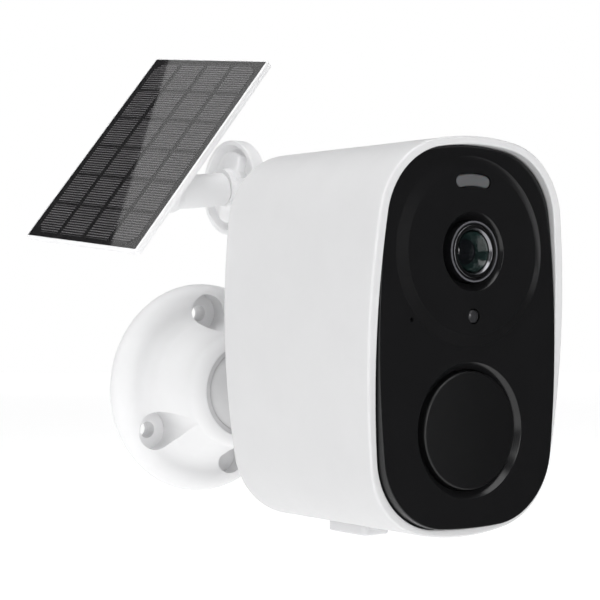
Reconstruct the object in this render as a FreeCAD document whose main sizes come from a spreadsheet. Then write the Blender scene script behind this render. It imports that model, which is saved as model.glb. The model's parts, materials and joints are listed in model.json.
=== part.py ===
"""Solar-powered security camera: battery camera head, ball-jointed wall base, steel carrier and solar panel.

Frame: millimetres, +Z up, the camera looks along -Y, the wall is the plane Y = 0.
Origin: centre of the wall face behind the camera's base.
Camera pieces are drawn about the centre of the front plate, solar pieces about the arm's axis,
and panel pieces about the centre of the glass, and each body is then placed in the model frame.
"""
import FreeCAD, Part
import Sketcher
import math
import os
from FreeCAD import Placement, Rotation, Vector

SIZES = {
    # camera head: outline, depth and lean of the shell
    "face_depth": 121.0, "face_height": 15.0, "ring_offset": 20.0, "head_side": -2.6,
    "shell_half": 28.6, "shell_side_arc": 201.0, "shell_side_level": 1.2,
    "shell_top": 45.7, "shell_top_arc": 61.7, "shell_top_corner": 19.0,
    "shell_bottom": 44.1, "shell_bottom_arc": 60.2, "shell_bottom_corner": 17.4,
    "shell_depth": 57.3, "front_lean": 0.059, "back_lean": 0.039, "back_wall": 3.0,
    # front plate, set inside the shell
    "plate_half": 26.0, "plate_side_arc": 235.0, "plate_side_level": -0.8,
    "plate_top": 43.6, "plate_top_arc": 62.0, "plate_top_corner": 16.8,
    "plate_bottom": 41.9, "plate_bottom_arc": 114.0, "plate_bottom_corner": 17.7,
    "plate_thick": 2.2, "plate_skirt": 6.6, "plate_gap": 0.25,
    # lens group
    "boss_foot": 21.4, "boss_top": 18.74, "boss_rise": 1.05, "bezel_mouth": 8.94, "bezel_floor": 7.1,
    "barrel_radius": 6.85, "lens_ring_outer": 6.05, "lens_ring_inner": 4.75, "lens_forward": 1.8,
    # motion sensor
    "pir_mouth": 15.3, "pir_radius": 13.33, "pir_rise": 0.5,
    # wall base, ball and stud
    "base_radius": 28.6, "base_hole_circle": 20.6, "base_hole": 2.2, "scoop": 5.2, "seat_radius": 13.9,
    "ball_radius": 12.6, "ball_depth": 20.7, "collar_depth": 27.2, "mouth_radius": 12.3,
    "neck_radius": 5.0, "thread_radius": 3.1, "nut_radius": 10.0,
    # steel carrier and solar bracket
    "steel": 2.0, "carrier_disc": 24.0, "neck_inner": 15.5, "neck_outer": 27.5, "flange_top": 60.0,
    "solar_x": 1.5, "solar_y": -26.4, "solar_z": 54.1, "disc_radius": 12.6, "disc_thick": 3.85,
    "arm_radius": 4.4, "arm_drop": 5.8, "arm_length": 20.25, "panel_ball": 3.6,
    # solar panel
    "glass_width": 42.4, "glass_length": 63.6, "panel_thick": 2.0, "mount_offset": 5.9, "ball_standoff": 11.0,
    "panel_yaw": -79.0, "panel_pitch": 6.2, "panel_roll": 50.8,
}
"""Every driving length in millimetres, angle in degrees and lean in millimetres per millimetre."""


class Dim:
    """A number together with the spreadsheet expression that gives it."""

    def __init__(self, value, text):
        self.value = value
        self.text = text

    def __add__(self, other):
        return Dim(self.value + number(other), f"({self.text} + {words(other)})")

    def __radd__(self, other):
        return Dim(number(other) + self.value, f"({words(other)} + {self.text})")

    def __sub__(self, other):
        return Dim(self.value - number(other), f"({self.text} - {words(other)})")

    def __rsub__(self, other):
        return Dim(number(other) - self.value, f"({words(other)} - {self.text})")

    def __mul__(self, other):
        return Dim(self.value * number(other), f"({self.text} * {words(other)})")

    __rmul__ = __mul__

    def __neg__(self):
        return Dim(-self.value, f"(0 - {self.text})")


def number(quantity):
    """The plain value of a Dim or a number."""
    return quantity.value if isinstance(quantity, Dim) else float(quantity)


def words(quantity):
    """The expression text of a Dim or a number."""
    return quantity.text if isinstance(quantity, Dim) else f"({float(quantity):.6f})"


doc = FreeCAD.newDocument("security_camera")
sheet = doc.addObject("Spreadsheet::Sheet", "sizes")
for row, (alias, value) in enumerate(SIZES.items(), start=1):
    sheet.set(f"A{row}", alias)
    sheet.set(f"B{row}", str(value))
    sheet.setAlias(f"B{row}", alias)
doc.recompute()


def size(alias):
    """One driving size of the sheet."""
    return Dim(float(sheet.get(alias)), f"sizes.{alias}")


def bind(owner, prop, quantity):
    """Set a property, and tie it to the sheet when the quantity comes from there."""
    head = prop.split(".")[0]
    if head == prop:
        setattr(owner, prop, number(quantity))
    if isinstance(quantity, Dim):
        owner.setExpression(prop, quantity.text)


NODES = []


def keep(piece, place=None):
    """Place a finished sub-part and list it for export under its label."""
    if place is not None:
        piece.Placement = place
    NODES.append(piece)
    return piece


def at(x=0, y=0, z=0):
    """Placement moved by three lengths, with no turn."""
    return Placement(Vector(number(x), number(y), number(z)), Rotation())


def face_frame(x=0, y=0, z=0):
    """Placement of a camera piece, given from the centre of the front plate."""
    return at(x + size("head_side"), y - size("face_depth"), z + size("face_height"))


def new_body(label):
    """An empty PartDesign body whose label names its file."""
    body = doc.addObject("PartDesign::Body", label)
    body.Label = label
    return body


def flat_sketch(body, plane, lift=0):
    """A sketch on one of the body's own origin planes, lifted along the plane's normal."""
    sketch = body.newObject("Sketcher::SketchObject", body.Name + "_sketch")
    base = [item for item in body.Origin.OriginFeatures if item.Role == plane + "_Plane"][0]
    sketch.AttachmentSupport = [(base, "")]
    sketch.MapMode = "FlatFace"
    sketch.AttachmentOffset = at(0, 0, lift)
    if isinstance(lift, Dim):
        sketch.setExpression("AttachmentOffset.Base.z", lift.text)
    return sketch


def pin_point(sketch, geometry, spot, point):
    """Hold one end of a sketch element at a point whose coordinates may come from the sheet."""
    axes = (("DistanceX", -2), ("DistanceY", -1))
    for (kind, axis), quantity in zip(axes, point):
        if not isinstance(quantity, Dim) and abs(quantity) < 1e-9:
            sketch.addConstraint(Sketcher.Constraint("PointOnObject", geometry, spot, axis))
            continue
        index = sketch.addConstraint(Sketcher.Constraint(kind, -1, 1, geometry, spot, number(quantity)))
        if isinstance(quantity, Dim):
            sketch.setExpression(f"Constraints[{index}]", quantity.text)


def outline(sketch, points):
    """A closed outline: each entry is a corner (u, v), or (u, v, mid_u, mid_v) for an arc that ends there."""
    count = len(points)
    for index in range(count):
        start = points[index - 1]
        end = points[index]
        a = Vector(number(start[0]), number(start[1]), 0)
        b = Vector(number(end[0]), number(end[1]), 0)
        if len(end) == 2:
            sketch.addGeometry(Part.LineSegment(a, b))
            tail, head = 1, 2
        else:
            mid = Vector(end[2], end[3], 0)
            arc = Part.Arc(a, mid, b)
            left_turn = (mid - a).cross(b - mid).z > 0
            tail, head = (1, 2) if left_turn else (2, 1)
            sketch.addGeometry(arc)
            centre = arc.toShape().Curve.Center
            chord = b - a
            kind, level = ("DistanceX", centre.x) if abs(chord.y) > abs(chord.x) else ("DistanceY", centre.y)
            sketch.addConstraint(Sketcher.Constraint(kind, -1, 1, index, 3, level))
        pin_point(sketch, index, head, end[:2])
        if index:
            sketch.addConstraint(Sketcher.Constraint("Coincident", index, tail, index - 1, last_head))
        else:
            first_tail = tail
        last_head = head
    sketch.addConstraint(Sketcher.Constraint("Coincident", 0, first_tail, count - 1, last_head))


def circle(sketch, u, v, radius):
    """A full circle in a sketch."""
    index = sketch.addGeometry(Part.Circle(Vector(number(u), number(v), 0), Vector(0, 0, 1), number(radius)))
    pin_point(sketch, index, 3, (u, v))
    tie = sketch.addConstraint(Sketcher.Constraint("Radius", index, number(radius)))
    if isinstance(radius, Dim):
        sketch.setExpression(f"Constraints[{tie}]", radius.text)


def rectangle(sketch, low_u, low_v, high_u, high_v):
    """An upright rectangle in a sketch."""
    outline(sketch, [(low_u, low_v), (high_u, low_v), (high_u, high_v), (low_u, high_v)])


def pad(body, sketch, length, back=False, both=False):
    """Grow the body from a sketch, along its normal, against it, or half each way."""
    feature = body.newObject("PartDesign::Pad", body.Name + "_pad")
    feature.Profile = sketch
    feature.Reversed = back
    feature.Midplane = both
    bind(feature, "Length", length)
    sketch.Visibility = False
    return feature


def cut(body, sketch, depth, back=False, both=False):
    """Cut the body by a sketch, against its normal, along it, or half each way; it has to remove material."""
    doc.recompute()
    before = body.Shape.Volume
    feature = body.newObject("PartDesign::Pocket", body.Name + "_cut")
    feature.Profile = sketch
    feature.Reversed = back
    feature.Midplane = both
    bind(feature, "Length", depth)
    doc.recompute()
    if not body.Shape.Volume < before - 1e-6:
        raise RuntimeError(f"{body.Label}: a cut removed nothing")
    return feature


def turn(body, points, axis, groove=False):
    """Revolve an outline drawn on the XY plane about X or Y, to add material or to cut it."""
    sketch = flat_sketch(body, "XY")
    outline(sketch, points)
    kind = "Groove" if groove else "Revolution"
    feature = body.newObject("PartDesign::" + kind, body.Name + "_" + kind.lower())
    feature.Profile = sketch
    feature.ReferenceAxis = (sketch, ["H_Axis" if axis == "X" else "V_Axis"])
    doc.recompute()
    return feature


def turned(label, points, axis="Y", place=None):
    """A sub-part made on a lathe: (radius, position) corners about Y, or (position, radius) about X."""
    body = new_body(label)
    turn(body, points, axis)
    return keep(body, place)


def fillet(body, radius, wanted):
    """Round the edges of the body's tip whose middle point passes the test."""
    doc.recompute()
    tip = body.Tip
    names = []
    for index, edge in enumerate(tip.Shape.Edges, start=1):
        middle = edge.valueAt((edge.FirstParameter + edge.LastParameter) / 2)
        if wanted(edge, middle):
            names.append(f"Edge{index}")
    if not names:
        raise RuntimeError(f"{body.Label}: no edge to round")
    feature = body.newObject("PartDesign::Fillet", body.Name + "_fillet")
    feature.Base = (tip, names)
    bind(feature, "Radius", radius)
    doc.recompute()
    return feature


def block(label, low, high, place=None):
    """A rectangular sub-part between two corners."""
    body = new_body(label)
    sketch = flat_sketch(body, "XY", low[2])
    rectangle(sketch, low[0], low[1], high[0], high[1])
    pad(body, sketch, high[2] - low[2])
    return keep(body, place)


def rod(name, radius, length, place):
    """A plain cylinder along its own Z."""
    piece = doc.addObject("Part::Cylinder", name)
    bind(piece, "Radius", radius)
    bind(piece, "Height", length)
    piece.Placement = place
    return piece


def group(label, pieces):
    """Several identical solids in one node."""
    bundle = doc.addObject("Part::Compound", label)
    bundle.Label = label
    bundle.Links = pieces
    return keep(bundle)


def screws(label, places, head_radius, head_height, shank_radius, length):
    """Identical pan-head screws: each place puts the underside of a head, with the shank along its +Z."""
    pieces = []
    for index, place in enumerate(places, start=1):
        under_head = Placement(Vector(0, 0, -head_height), Rotation())
        head = rod(f"{label}_head{index}", head_radius, head_height, under_head)
        shank = rod(f"{label}_shank{index}", shank_radius, length, Placement())
        screw = doc.addObject("Part::MultiFuse", f"{label}_{index}")
        screw.Shapes = [head, shank]
        screw.Placement = place
        pieces.append(screw)
    return group(label, pieces)


def ring_spots(count, radius, first):
    """Points evenly round a circle, the first at the given angle in degrees."""
    angles = [math.radians(first + 360 * index / count) for index in range(count)]
    return [(radius * math.cos(angle), radius * math.sin(angle)) for angle in angles]


BACKWARD = Rotation(Vector(1, 0, 0), -90)
"""Turns +Z to +Y: from the camera's face towards the wall."""
FORWARD = Rotation(Vector(1, 0, 0), 90)
"""Turns +Z to -Y: from the wall towards the camera's face."""
BOSS_SPOTS = ((-12.8, 37.4), (12.8, 37.4), (-12.8, -35.7), (12.8, -35.7))
"""Screw bosses inside the shell: x and height from the centre of the front plate."""
PORT_HALF, PORT_START, PORT_END = 4.4, 33.2, 48.7
"""Half-width and the two ends of the charging port's opening in the shell's underside."""
SENSOR_LEVEL = 5.55
"""Height of the light sensor's axis above the centre of the front plate."""
SPEAKER_Y = 18.0
"""How far behind the front plate the speaker's axis stands."""
FIRST_HOLE = 92.5
"""Angle of the base's first screw hole, in degrees from +X towards +Z."""
RELIEF_X, RELIEF_Z, RELIEF_RADIUS = 6.6, -19.6, 4.3
"""Middle and radius of the blind recess in the underside of the base's collar."""
HINGE_Y, HINGE_Z, HINGE_RADIUS = 31.0, -44.725, 0.475
"""Axis of the port plug's rolled edge, from the centre of the front plate, and the roll's radius."""
SEAM = 4.3
"""From the swivel pivot to the seam between the bracket's hub and the arm."""


# ---------------------------------------------------------------- camera head

def soft_outline(sketch, part, grow=0):
    """The four long arcs of the shell's or plate's outline, on a plane seen from the front."""
    half = size(part + "_half") + grow
    side_arc = size(part + "_side_arc") + grow
    level = size(part + "_side_level")
    top = size(part + "_top") + grow
    top_arc = size(part + "_top_arc") + grow
    bottom = size(part + "_bottom") + grow
    bottom_arc = size(part + "_bottom_arc") + grow
    side_x = number(half) - number(side_arc)
    corners = []
    for cap, arc_radius, sign in ((top, top_arc, 1), (bottom, bottom_arc, -1)):
        centre = sign * (number(cap) - number(arc_radius))
        corners.append(meeting(side_x, number(level), number(side_arc), centre, number(arc_radius), sign))
    (top_u, top_v), (low_u, low_v) = corners
    outline(sketch, [
        (-top_u, top_v, 0, number(top)),
        (-low_u, low_v, -number(half), number(level)),
        (low_u, low_v, 0, -number(bottom)),
        (top_u, top_v, number(half), number(level)),
    ])


def meeting(side_x, level, side_arc, cap_centre, cap_arc, sign):
    """Where the right side arc crosses the top (sign 1) or bottom (sign -1) arc."""
    run = math.hypot(side_x, cap_centre - level)
    along = (side_arc ** 2 - cap_arc ** 2 + run ** 2) / (2 * run)
    across = math.sqrt(side_arc ** 2 - along ** 2)
    unit = Vector(-side_x / run, (cap_centre - level) / run, 0)
    foot = Vector(side_x, level, 0) + unit * along
    options = [foot + Vector(-unit.y, unit.x, 0) * across, foot - Vector(-unit.y, unit.x, 0) * across]
    best = max(options, key=lambda point: point.x)
    return best.x, best.y


def soft_slab(body, part, lift, length, grow=0, back=True):
    """Pad the soft outline and round its four corners."""
    sketch = flat_sketch(body, "XZ", lift)
    soft_outline(sketch, part, grow)
    pad(body, sketch, length, back=back)
    round_corners(body, part, grow)


def round_corners(body, part, grow):
    """Round the two top and the two bottom corner edges of a soft slab."""
    for cap, sign in (("_top", 1), ("_bottom", -1)):
        fillet(body, size(part + cap + "_corner") + grow,
               lambda edge, middle: is_long(edge) and sign * middle.z > 10 and abs(middle.x) > 10)


def is_upright(edge):
    """True for an edge that starts out along Z."""
    return abs(edge.tangentAt(edge.FirstParameter).z) > 0.9


def is_long(edge):
    """True for a straight edge along Y."""
    if not isinstance(edge.Curve, Part.Line):
        return False
    return abs(edge.Curve.Direction.y) > 0.99


def housing_shell():
    """White one-piece shell: soft section, front rim leaning forward, closed back, port recess below."""
    body = new_body("housing_shell")
    front = 4.0
    soft_slab(body, "shell", front, size("shell_depth") + front + 4)
    reach = 60.0
    lean = size("front_lean")
    wedge = flat_sketch(body, "YZ")
    outline(wedge, [(-10, reach), (0.4 - lean * reach, reach), (0.4 + lean * reach, -reach), (-10, -reach)])
    cut(body, wedge, 80, both=True)
    tail = flat_sketch(body, "YZ")
    rear = size("shell_depth")
    slope = size("back_lean")
    outline(tail, [(70, reach), (rear + slope * reach, reach), (rear - slope * reach, -reach), (70, -reach)])
    cut(body, tail, 80, both=True)
    hollow = new_body("shell_hollow")
    soft_slab(hollow, "plate", 6, size("shell_depth") + 6 - size("back_wall") - 1.5, size("plate_gap"))
    fillet(body, 1.1, lambda edge, middle: middle.y > 50)
    fillet(body, 0.5, lambda edge, middle: middle.y < 8 and not is_long(edge))
    cavity = body.newObject("PartDesign::Boolean", "shell_cavity")
    cavity.Type = "Cut"
    cavity.addObjects([hollow])
    doc.recompute()
    boss = flat_sketch(body, "XZ", -size("shell_depth") + size("back_wall") + 1.0)
    circle(boss, -size("head_side"), -size("face_height"), 8.0)
    pad(body, boss, 6.5)
    hole = flat_sketch(body, "XZ", -size("shell_depth") - 5)
    circle(hole, -size("head_side"), -size("face_height"), 5.2)
    cut(body, hole, 20, back=True)
    posts = flat_sketch(body, "XZ", -size("shell_depth") + size("back_wall") + 1.0)
    pilots = flat_sketch(body, "XZ", -5)
    for x, z in BOSS_SPOTS:
        circle(posts, x, z, 2.3)
        circle(pilots, x, z, 1.05)
    pad(body, posts, 43.6)
    cut(body, pilots, 12)
    floor = flat_sketch(body, "XY", -size("shell_bottom") - 4)
    rectangle(floor, -PORT_HALF, PORT_START, PORT_HALF, PORT_END)
    cut(body, floor, 8, back=True)
    grille = flat_sketch(body, "XY", -size("shell_bottom") - 4)
    circle(grille, 0, SPEAKER_Y, 0.6)
    for x, y in ring_spots(6, 3.0, 0):
        circle(grille, x, SPEAKER_Y + y, 0.6)
    cut(body, grille, 8, back=True)
    keep(body, face_frame())


def front_plate():
    """Black front plate with a skirt, openings for lens, window and sensors, and a sound hole."""
    body = new_body("front_plate")
    soft_slab(body, "plate", 0, size("plate_skirt"))
    hollow = new_body("plate_hollow")
    soft_slab(hollow, "plate", -size("plate_thick"), size("plate_skirt") + 2, -1.8)
    hollowing = body.newObject("PartDesign::Boolean", "plate_cavity")
    hollowing.Type = "Cut"
    hollowing.addObjects([hollow])
    doc.recompute()
    holes = flat_sketch(body, "XZ", 5)
    circle(holes, 0, size("ring_offset"), 14.9)
    circle(holes, 0, -size("ring_offset"), size("pir_radius") + 0.35)
    circle(holes, -16.9, 4.9, 0.45)
    cut(body, holes, 12)
    window = flat_sketch(body, "XZ", 5)
    window_outline(window, 0.3)
    cut(body, window, 12)
    sensor = flat_sketch(body, "XZ", 5)
    circle(sensor, 0, SENSOR_LEVEL, 2.0)
    cut(body, sensor, 12)
    tip = body.Tip
    rim = [f"Edge{index}" for index, edge in enumerate(tip.Shape.Edges, start=1)
           if is_front_circle(edge, number(size("pir_radius")) + 0.35)]
    mouth = body.newObject("PartDesign::Chamfer", "pir_countersink")
    mouth.Base = (tip, rim)
    bind(mouth, "Size", size("pir_mouth") - size("pir_radius") - 0.35)
    doc.recompute()
    fillet(body, 0.35, lambda edge, middle: abs(middle.y) < 0.01 and edge.Length > 16 and not is_hole(edge))
    keep(body, face_frame())


def is_hole(edge):
    """True for an edge of a round hole on the middle line, as against the long arcs of an outline."""
    return isinstance(edge.Curve, Part.Circle) and edge.Curve.Radius < 16 and abs(edge.Curve.Center.x) < 0.01


def is_front_circle(edge, radius):
    """True for a full circle of this radius on the plane y = 0."""
    if not isinstance(edge.Curve, Part.Circle):
        return False
    return abs(edge.Curve.Radius - radius) < 0.01 and abs(edge.Curve.Center.y) < 0.01


def window_outline(sketch, grow=0.0):
    """The bean-shaped light window above the lens, concentric with it, with rounded ends."""
    outer, inner, half_angle = 17.4 + grow, 14.6 - grow, math.radians(13.0)
    middle_radius = (outer + inner) / 2
    end_radius = (outer - inner) / 2
    level = number(size("ring_offset"))

    def spot(radius, angle):
        return radius * math.sin(angle), level + radius * math.cos(angle)

    tip_u, tip_v = spot(middle_radius, half_angle)
    tip = (tip_u + end_radius * math.cos(half_angle), tip_v - end_radius * math.sin(half_angle))
    outline(sketch, [
        spot(outer, half_angle) + (0, level + outer),
        spot(inner, half_angle) + tip,
        spot(inner, -half_angle) + (0, level + inner),
        spot(outer, -half_angle) + (-tip[0], tip[1]),
    ])


def lens_boss():
    """Raised round lens surround: sloping edge, conical mouth, and an opening for the light sensor."""
    body = new_body("lens_boss")
    rise = size("boss_rise")
    turn(body, [(size("bezel_mouth"), -rise), (size("boss_top"), -rise), (size("boss_foot"), 0), (14.8, 0),
                (14.8, 2.6), (size("bezel_floor"), 2.6), (size("bezel_floor"), 1.2)], "Y")
    openings = flat_sketch(body, "XZ", 5)
    circle(openings, 0, SENSOR_LEVEL - size("ring_offset"), 1.75)
    cut(body, openings, 12)
    return body


def lens_group():
    """Lens surround and everything on the lens axis, front to back."""
    on_axis = face_frame(z=size("ring_offset"))
    core = face_frame(y=-size("lens_forward"), z=size("ring_offset"))
    boss = lens_boss()
    window = flat_sketch(boss, "XZ", 5)
    window.AttachmentOffset = at(0, -size("ring_offset"), 5)
    window.setExpression("AttachmentOffset.Base.y", (-size("ring_offset")).text)
    window_outline(window, 0.12)
    cut(boss, window, 12)
    keep(boss, on_axis)
    glow = new_body("light_window")
    pane = flat_sketch(glow, "XZ", size("boss_rise") - 0.15)
    window_outline(pane)
    pad(glow, pane, 1.9, back=True)
    keep(glow, face_frame())
    turned("light_sensor_dome", [(0, -1.45), (1.55, -0.7, 1.1, -1.25), (1.55, 2.0), (0, 2.0)],
           place=face_frame(z=SENSOR_LEVEL))
    barrel = size("barrel_radius")
    turned("lens_barrel", [(6.15, 0.5), (barrel, 0.5), (barrel, 13.0), (7.8, 13.0), (7.8, 15.0), (3.4, 15.0),
                           (3.4, 6.0), (4.6, 3.5), (6.15, 3.5)], place=core)
    turned("lens_ring", [(size("lens_ring_inner"), 0.9), (4.95, 0.3), (size("lens_ring_outer"), 0.7),
                         (size("lens_ring_outer"), 3.4), (4.45, 3.4)], place=core)
    turned("front_lens", [(0, 0.9), (4.35, 2.1, 2.2, 1.2), (4.35, 3.3), (0, 3.3)], place=core)
    turned("rear_lens", [(0, 6.6), (3.2, 7.4, 1.6, 6.8), (3.2, 9.0), (0, 9.0)], place=core)
    holder = new_body("lens_holder")
    sides = flat_sketch(holder, "XZ", -8)
    rectangle(sides, -9, -9, 9, 9)
    pad(holder, sides, 6.8, back=True)
    bore = flat_sketch(holder, "XZ", -5)
    circle(bore, 0, 0, barrel + 0.1)
    cut(holder, bore, 7.9)
    seat = flat_sketch(holder, "XZ", -12.9)
    circle(seat, 0, 0, 7.9)
    cut(holder, seat, 3)
    keep(holder, core)
    block("image_sensor", (-4, 15.3, -3.5), (4, 16.0, 3.5), core)
    block("sensor_board", (-10, 16.0, -10), (10, 17.2, 10), core)


def dome_middle(radius, crown, foot):
    """Point halfway out along a dome whose crown is on the axis and whose foot is at this radius."""
    out, low, high = number(radius), number(crown), number(foot)
    rise = high - low
    sphere = (out ** 2 + rise ** 2) / (2 * rise)
    return out / 2, low + sphere - math.sqrt(sphere ** 2 - (out / 2) ** 2)


def motion_sensor():
    """Fresnel lens of the motion sensor, its can and its small board."""
    on_axis = face_frame(z=-size("ring_offset"))
    radius = size("pir_radius")
    crown = -(size("pir_rise") + 0.6)
    inner_crown = crown + 1.2
    outer_dome = (radius, 0.5, *dome_middle(radius, crown, 0.5))
    inner_dome = (0, inner_crown, *dome_middle(12.4, inner_crown, 1.4))
    turned("pir_lens", [(0, crown), outer_dome, (radius, 3.2), (14.9, 3.2), (14.9, 4.2), (12.4, 4.2),
                        (12.4, 1.4), inner_dome], place=on_axis)
    turned("pir_sensor", [(0, 8.0), (4.1, 8.0), (4.1, 11.6), (4.7, 11.6), (4.7, 12.2), (0, 12.2)],
           place=on_axis)
    block("pir_board", (-12, 12.2, -8), (12, 13.2, 8), on_axis)


def electronics():
    """Boards, cells, speaker, microphone, antenna and lamps behind the front plate."""
    home = face_frame()
    chassis = new_body("chassis")
    soft_slab(chassis, "plate", -(size("plate_skirt") + 0.6), 2.0, -0.5)
    gaps = flat_sketch(chassis, "XZ", 0)
    circle(gaps, 0, size("ring_offset"), 13.0)
    circle(gaps, 0, -size("ring_offset"), 10.0)
    cut(chassis, gaps, 20)
    for x, z in BOSS_SPOTS:
        clear = flat_sketch(chassis, "XZ", 0)
        circle(clear, x, z, 1.3)
        cut(chassis, clear, 20)
    keep(chassis, home)
    depth = number(size("plate_skirt")) + 0.6
    seats = [Placement(face_frame(x, depth, z).Base, BACKWARD) for x, z in BOSS_SPOTS]
    screws("chassis_screws", seats, 1.7, 1.2, 1.0, 6.0)
    seal = new_body("front_seal")
    soft_slab(seal, "plate", -(size("plate_skirt") + 0.1), 0.5, -0.2)
    inner = new_body("seal_hollow")
    soft_slab(inner, "plate", 0, 12, -1.7)
    opening = seal.newObject("PartDesign::Boolean", "seal_opening")
    opening.Type = "Cut"
    opening.addObjects([inner])
    keep(seal, home)
    block("light_board", (-8, 3.4, 33.6), (8, 4.4, 38.6), home)
    chips = []
    for index, x in enumerate((-3.2, 3.2), start=1):
        lamp = doc.addObject("Part::Box", f"lamp{index}")
        lamp.Length, lamp.Width, lamp.Height = 2.8, 1.0, 2.8
        lamp.Placement = face_frame(x - 1.4, 2.4, 34.7)
        chips.append(lamp)
    group("spot_lamps", chips)
    block("main_board", (-17, 19.0, -32.6), (17, 20.4, 34), home)
    block("processor_shield", (-8, 20.4, -12), (8, 22.6, 8), home)
    block("antenna", (-9, 12.0, 31.5), (9, 12.8, 40.5), home)
    turned("microphone", [(0, 2.5), (2.0, 2.5), (2.0, 4.6), (0, 4.6)], place=face_frame(-16.9, 0, 4.9))
    cells = []
    for index, x in enumerate((-9.3, 9.3), start=1):
        cells.append(rod(f"cell{index}", 9.1, 65.0, face_frame(x, 36.0, -30.0)))
    group("battery_cells", cells)
    holder = new_body("battery_holder")
    side = flat_sketch(holder, "YZ")
    outline(side, [(25.5, -32.5), (46.6, -32.5), (46.6, 37.5), (25.5, 37.5), (25.5, 36.0), (45.4, 36.0),
                   (45.4, -31.0), (25.5, -31.0)])
    pad(holder, side, 19.0, both=True)
    keep(holder, home)
    speaker = new_body("speaker")
    cone = flat_sketch(speaker, "XY", -40.8)
    circle(cone, 0, SPEAKER_Y, 7.0)
    pad(speaker, cone, 4.0)
    keep(speaker, home)


def charging_port():
    """Charging socket, reset button and the rubber plug that closes them."""
    home = face_frame()
    floor = -(size("shell_bottom") - 2.3)
    tray = new_body("port_tray")
    sheet_metal = flat_sketch(tray, "XY", floor)
    rectangle(sheet_metal, -6.2, 31.6, 6.2, 50.3)
    pad(tray, sheet_metal, 1.2)
    slots = flat_sketch(tray, "XY", floor - 2)
    rectangle(slots, -1.75, 34.1, 1.75, 43.3)
    circle(slots, 0, 46.4, 1.3)
    cut(tray, slots, 8, back=True)
    keep(tray, home)
    socket = new_body("usb_socket")
    case = flat_sketch(socket, "XY", floor)
    rectangle(case, -1.65, 34.2, 1.65, 43.2)
    pad(socket, case, 7.3)
    mouth = flat_sketch(socket, "XY", floor - 1)
    rectangle(mouth, -1.25, 34.6, 1.25, 42.8)
    cut(socket, mouth, 6.8, back=True)
    tongue = flat_sketch(socket, "XY", floor + 0.6)
    rectangle(tongue, -0.35, 35.4, 0.35, 42.0)
    pad(socket, tongue, 6.0)
    keep(socket, home)
    button = new_body("reset_button")
    stem = flat_sketch(button, "XY", floor - 0.2)
    circle(stem, 0, 46.4, 1.1)
    pad(button, stem, 2.6)
    keep(button, home)
    strap = new_body("plug_strap")
    strip = flat_sketch(strap, "YZ")
    end = HINGE_Y - HINGE_RADIUS - 0.1
    outline(strip, [(23.5, -44.25), (end, -44.25), (end, -45.1), (25.0, -44.85), (23.5, -44.5)])
    pad(strap, strip, 5.0, both=True)
    keep(strap, home)
    plug = new_body("port_plug")
    grip = flat_sketch(plug, "XY", -47.0)
    rectangle(grip, -4.0, 33.6, 4.0, 48.3)
    pad(plug, grip, 2.8)
    fillet(plug, 0.9, lambda edge, middle: is_upright(edge))
    fillet(plug, 0.9, lambda edge, middle: middle.z < -46.9)
    stopper = flat_sketch(plug, "XY", -44.4)
    rectangle(stopper, -3.9, 33.8, 3.9, 48.1)
    pad(plug, stopper, 2.0)
    tab = flat_sketch(plug, "YZ")
    low, high = HINGE_Z - HINGE_RADIUS, HINGE_Z + HINGE_RADIUS
    rolled = (HINGE_Y, low, HINGE_Y - HINGE_RADIUS, HINGE_Z)
    outline(tab, [rolled, (34.5, low), (34.5, high), (HINGE_Y, high)])
    pad(plug, tab, 5.0, both=True)
    keep(plug, home)


# ---------------------------------------------------------------- wall base, ball and stud

def wall_base():
    """Bell-shaped wall base: rolled lip, valley, collar round the ball seat, scooped holes and a recess."""
    body = new_body("wall_base")
    steel = size("steel")
    ball = size("ball_depth")
    seat = size("seat_radius")
    collar = size("collar_depth")
    lip = size("base_radius")
    turn(body, [
        (17.2, -steel), (25.2, -steel), (lip, -4.9, 27.4, -2.9), (23.6, -9.9, 27.1, -8.6),
        (18.3, -13.0, 20.3, -10.5), (15.5, -22.6, 16.3, -17.6), (12.75, -collar + 0.15, 14.75, -25.5),
        (size("mouth_radius"), -collar), (seat, -ball, 13.48, -24.1), (seat, -4.6), (17.2, -4.6),
    ], "Y")
    scoops = flat_sketch(body, "XZ", 5.2)
    holes = flat_sketch(body, "XZ", 40)
    circle(scoops, RELIEF_X, RELIEF_Z, RELIEF_RADIUS)
    for x, z in ring_spots(3, number(size("base_hole_circle")), FIRST_HOLE):
        circle(scoops, x, z, size("scoop"))
        circle(holes, x, z, size("base_hole"))
    cut(body, scoops, 30, back=True)
    cut(body, holes, 60)
    small = flat_sketch(body, "XZ", 8)
    for x, z in ring_spots(3, 15.55, 30):
        circle(small, x, z, 0.75)
    cut(body, small, 12)
    keep(body)


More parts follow.
